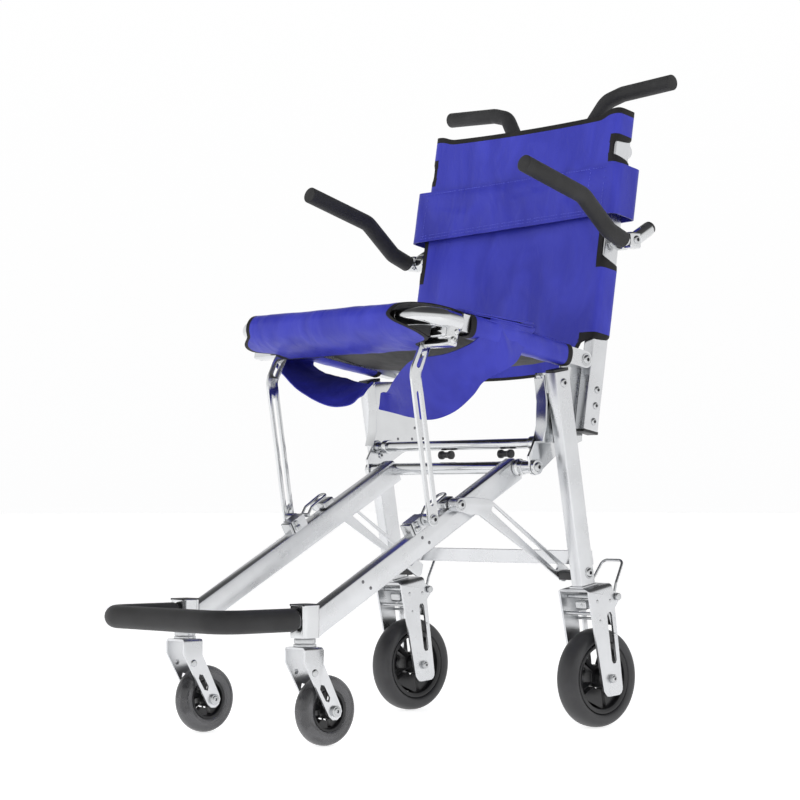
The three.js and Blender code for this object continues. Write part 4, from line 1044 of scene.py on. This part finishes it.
# ---------------------------------------------------------------- seat cover
prof = [(-26, -3, 176), (-45, -6, 181), (-80, -7, 184), (-120, -5, 186), (-160, 0, 187), (-200, 6, 190), (-225, 11, 196), (-240, 14, 199), (-255, 16.5, 196), (-268, 18.2, 189), (-280, 19.4, 179), (-290, 19.8, 166),
        (-300, 18.9, 153), (-309, 15, 144), (-314.5, 8, 139), (-316.6, 0, 137), (-315, -9, 150), (-309, -18, 174), (-298, -25, 187), (-284, -29.5, 184), (-273, -31.6, 153), (-254, -33.5, 150), (-246, -33.6, 150)]
P3 = catmull(prof, 74)
rows = []
for p in P3:
    w = p.z
    wf = max(w, 167.0) if p.x < -262 and p.y > -21 else w
    us = [-wf, -wf + 3.5, -wf + 7]
    n = 56
    us += [(-wf + 7) + (w + wf - 14) * k / n for k in range(1, n)]
    us += [w - 7, w - 3.5, w]
    row = []
    for u in us:
        y, zz = p.x, p.y
        if zz > -12 and y > -262:
            # the panel dishes between the side tubes
            dish = -9.0 * (1 - (min(abs(u), 180) / 180) ** 2) * smooth(-262, -200, y) * 1.0
            zz += dish
        row.append((u, y, zz))
    rows.append(row)
nr2, nc2 = len(rows), len(rows[0])


def sbk(i, j):
    if i >= nr2 - 3:
        return True
    return (j < 2 or j >= nc2 - 3) and P3[i].x < -228


seat = grid("seat_cover", rows, [BLUE, TAPE], "seat", SEAT, wrinkle=1.3, wscale=0.022, black=sbk, pin=lambda i, j: smooth(0, 6, j) * smooth(0, 6, nc2 - 1 - j))
pins = {}
for i in range(nr2):
    for j in range(nc2):
        if j < 4 or j > nc2 - 5 or i < 2 or (22 < i):
            pins[i * nc2 + j] = 1.0
settle(seat, pins, frames=14, cap=3.5, shrink=0.003)
seat.data.flip_normals()
finish_sheet(seat, "seat", 1.6, 1, ("seat_sling",), inner=1)

for t, s in SIDES:
    # sleeve of the seat cover round the side tube
    rows = []
    ny = 44
    for i in range(ny):
        v = i / (ny - 1)
        y = -233 + (233 - 34) * v
        hw = 12.4 + 0.8 * math.sin(math.pi * v)
        hh = 14.6 + 1.2 * math.sin(math.pi * min(1, v * 1.2))
        r = 8.5
        row = []
        m = 44
        for j in range(m + 1):
            a = math.radians(150 - 300 * j / m)          # from the inside top, round the outside, to the inside bottom
            ca, sa = math.cos(a), math.sin(a)
            e = 0.74
            px = (abs(ca) ** e) * (1 if ca > 0 else -1) * (hw + 1.6)
            pz = (abs(sa) ** e) * (1 if sa > 0 else -1) * (hh + 0.4)
            row.append((s * (196 + px), y + (6 * math.cos(a) if i == 0 else 0) * 0, pz - 0.5))
        rows.append(row)
    m1 = len(rows[0])
    sl = grid(f"seat_sleeve_{t}", rows, [BLUE, TAPE], "seat", SEAT, wrinkle=0.9, wscale=0.045, black=lambda i, j, ny=ny: i < 2 or i >= ny - 3, pin=lambda i, j: 1.0)
    finish_sheet(sl, "seat", 1.6, 1)
    # strap end folded over the sleeve in layers
    for k in range(3):
        rows = []
        for i in range(15):
            v = i / 14
            y = -236 + 122 * v
            z_side = 17.4 + 1.75 * k + (v ** 1.7) * (1.5 + 3.4 * k)
            row = []
            for j in range(13):
                u = j / 12
                x = 152 + (209.5 - 152) * (u * (0.55 + 0.45 * smooth(0, 0.35, v)) + (1 - (0.55 + 0.45 * smooth(0, 0.35, v))) * 0.5)
                droop = -7.5 * max(0, u - 0.72) / 0.28 * (0.5 + 0.5 * v) if k == 0 else -2.5 * max(0, u - 0.72) / 0.28
                row.append((s * x, y, z_side + droop + 1.0 * math.sin(u * 3.1)))
            rows.append(row)
        lay = grid(f"belt_fold_{t}_{k}", rows, [BLUE_D, TAPE], "seat", SEAT, wrinkle=0.5, wscale=0.03)
        finish_sheet(lay, "seat", 1.5, 1)


def ribbon(name, F, R, body, replaces=(), nlen=56, nwid=15, wr=1.6, bl=None, thick=1.7, mats=None, belly=0.0):
    A, B = catmull(F, nlen), catmull(R, nlen)
    rows = []
    for i in range(nlen):
        row = []
        for j in range(nwid):
            u = j / (nwid - 1)
            p = A[i].lerp(B[i], u)
            row.append(p)
        rows.append(row)
    o = grid(name, rows, mats or [BLUE_D, TAPE], body, WORLD, wrinkle=wr, wscale=0.035, black=bl)
    if belly:
        pins = {i * nwid + j: 1.0 for i in range(nlen) for j in range(nwid) if i < 5 or i > nlen - 4}
        settle(o, pins, frames=14, cap=belly, shrink=0.01)
    finish_sheet(o, body, thick, 1, replaces)
    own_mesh(o)
    return o


nearF = [(196, -213, 571), (209, -224, 566), (210.3, -240, 550), (208, -254, 536), (190, -265, 527), (160, -270, 521), (125, -273, 519), (95, -271, 514), (60, -262, 496), (30, -250, 478), (10, -246, 470)]
nearR = [(196, -128, 559), (209, -140, 554), (210.3, -163, 528), (208, -190, 502), (204, -234, 481), (182, -236, 461), (150, -240, 440), (118, -250, 430), (80, -252, 434), (45, -250, 441), (10, -250, 447)]
ribbon("leg_strap_near", nearF, nearR, "seat", ("leg_belt_l",), belly=5.0)
farF = [(-196, -240, 562), (-209, -246, 553), (-209.5, -262, 535), (-196, -275, 521), (-168, -279, 504), (-138, -281, 486), (-105, -281, 470), (-72, -279, 459), (-40, -276, 456), (-10, -262, 468)]
farR = [(-196, -168, 553), (-209, -172, 545), (-209.5, -184, 530), (-198, -196, 520), (-170, -202, 513), (-140, -206, 507), (-105, -212, 501), (-72, -220, 495), (-40, -230, 490), (-10, -242, 487)]
ribbon("leg_strap_far", farF, farR, "seat", ("leg_belt_r",), belly=5.0)

# ---------------------------------------------------------------- lights, floor, camera
def area(name, loc, target, size, power, col=(1, 1, 1)):
    li = bpy.data.lights.new(name, "AREA")
    li.shape = "RECTANGLE"
    li.size, li.size_y = size
    li.energy = power
    li.color = col
    ob = bpy.data.objects.new(name, li)
    ob.location = loc
    ob.rotation_euler = (Vector(target) - Vector(loc)).to_track_quat("-Z", "Y").to_euler()
    bpy.context.scene.collection.objects.link(ob)
    return ob


a = area("key", (0.4, -1.4, 3.2), (0, 0, 0.4), (2.6, 2.6), 46)
a.visible_glossy = False
b1 = area("side_r", (3.2, -0.6, 1.3), (0, 0, 0.5), (1.6, 2.2), 24)
b2 = area("side_l", (-2.2, -2.8, 1.2), (0, 0, 0.5), (1.6, 2.2), 24)
b1.visible_glossy = b2.visible_glossy = False

world = bpy.data.worlds.new("studio")
bpy.context.scene.world = world
world.use_nodes = True
nt = world.node_tree
bg = nt.nodes["Background"]
tc = nt.nodes.new("ShaderNodeTexCoord")
sep = nt.nodes.new("ShaderNodeSeparateXYZ")
nt.links.new(tc.outputs["Generated"], sep.inputs[0])
rp = nt.nodes.new("ShaderNodeValToRGB")
mr = nt.nodes.new("ShaderNodeMapRange")
mr.inputs["From Min"].default_value = -1
mr.inputs["From Max"].default_value = 1
nt.links.new(sep.outputs["Z"], mr.inputs["Value"])
nt.links.new(mr.outputs["Result"], rp.inputs["Fac"])
e = rp.color_ramp.elements
e[0].position, e[0].color = 0.0, (0.92, 0.92, 0.93, 1)
e[1].position, e[1].color = 1.0, (0.06, 0.06, 0.065, 1)
for p, v in ((0.62, 1.0), (0.72, 0.75), (0.80, 0.10)):
    k = e.new(p)
    k.color = (v, v, v, 1)
nt.links.new(rp.outputs["Color"], bg.inputs["Color"])
bg.inputs["Strength"].default_value = 1.0

fm, nt, b = new_mat("floor_pale")
n1 = node(nt, "ShaderNodeTexNoise", Scale=1.5)
c = ramp(nt, n1.outputs["Fac"], [(0.4, (0.70, 0.70, 0.705)), (0.6, (0.72, 0.72, 0.725))])
nt.links.new(c.outputs["Color"], b.inputs["Base Color"])
b.inputs["Roughness"].default_value = 0.55
b.inputs["Emission Color"].default_value = (1, 1, 1, 1)
b.inputs["Emission Strength"].default_value = 0.72
me = bpy.data.meshes.new("floor")
me.from_pydata([(-60, -60, -0.0005), (60, -60, -0.0005), (60, 60, -0.0005), (-60, 60, -0.0005)], [], [(0, 1, 2, 3)])
me.materials.append(fm)
floor = bpy.data.objects.new("floor", me)
bpy.context.scene.collection.objects.link(floor)

bpy.context.scene.view_settings.view_transform = "Standard"
bpy.context.scene.view_settings.look = "None"

cam = bpy.data.cameras.new("camera")
cam.lens = 105.08
cam.sensor_width = 36
cam.clip_end = 200
co = bpy.data.objects.new("camera", cam)
co.location = ((2438) * MM, (-2453 + SHIFT) * MM, 315.1 * MM)
co.rotation_euler = Vector((-0.7337, 0.6780, 0.0443)).to_track_quat("-Z", "Y").to_euler()
bpy.context.scene.collection.objects.link(co)
bpy.context.scene.camera = co
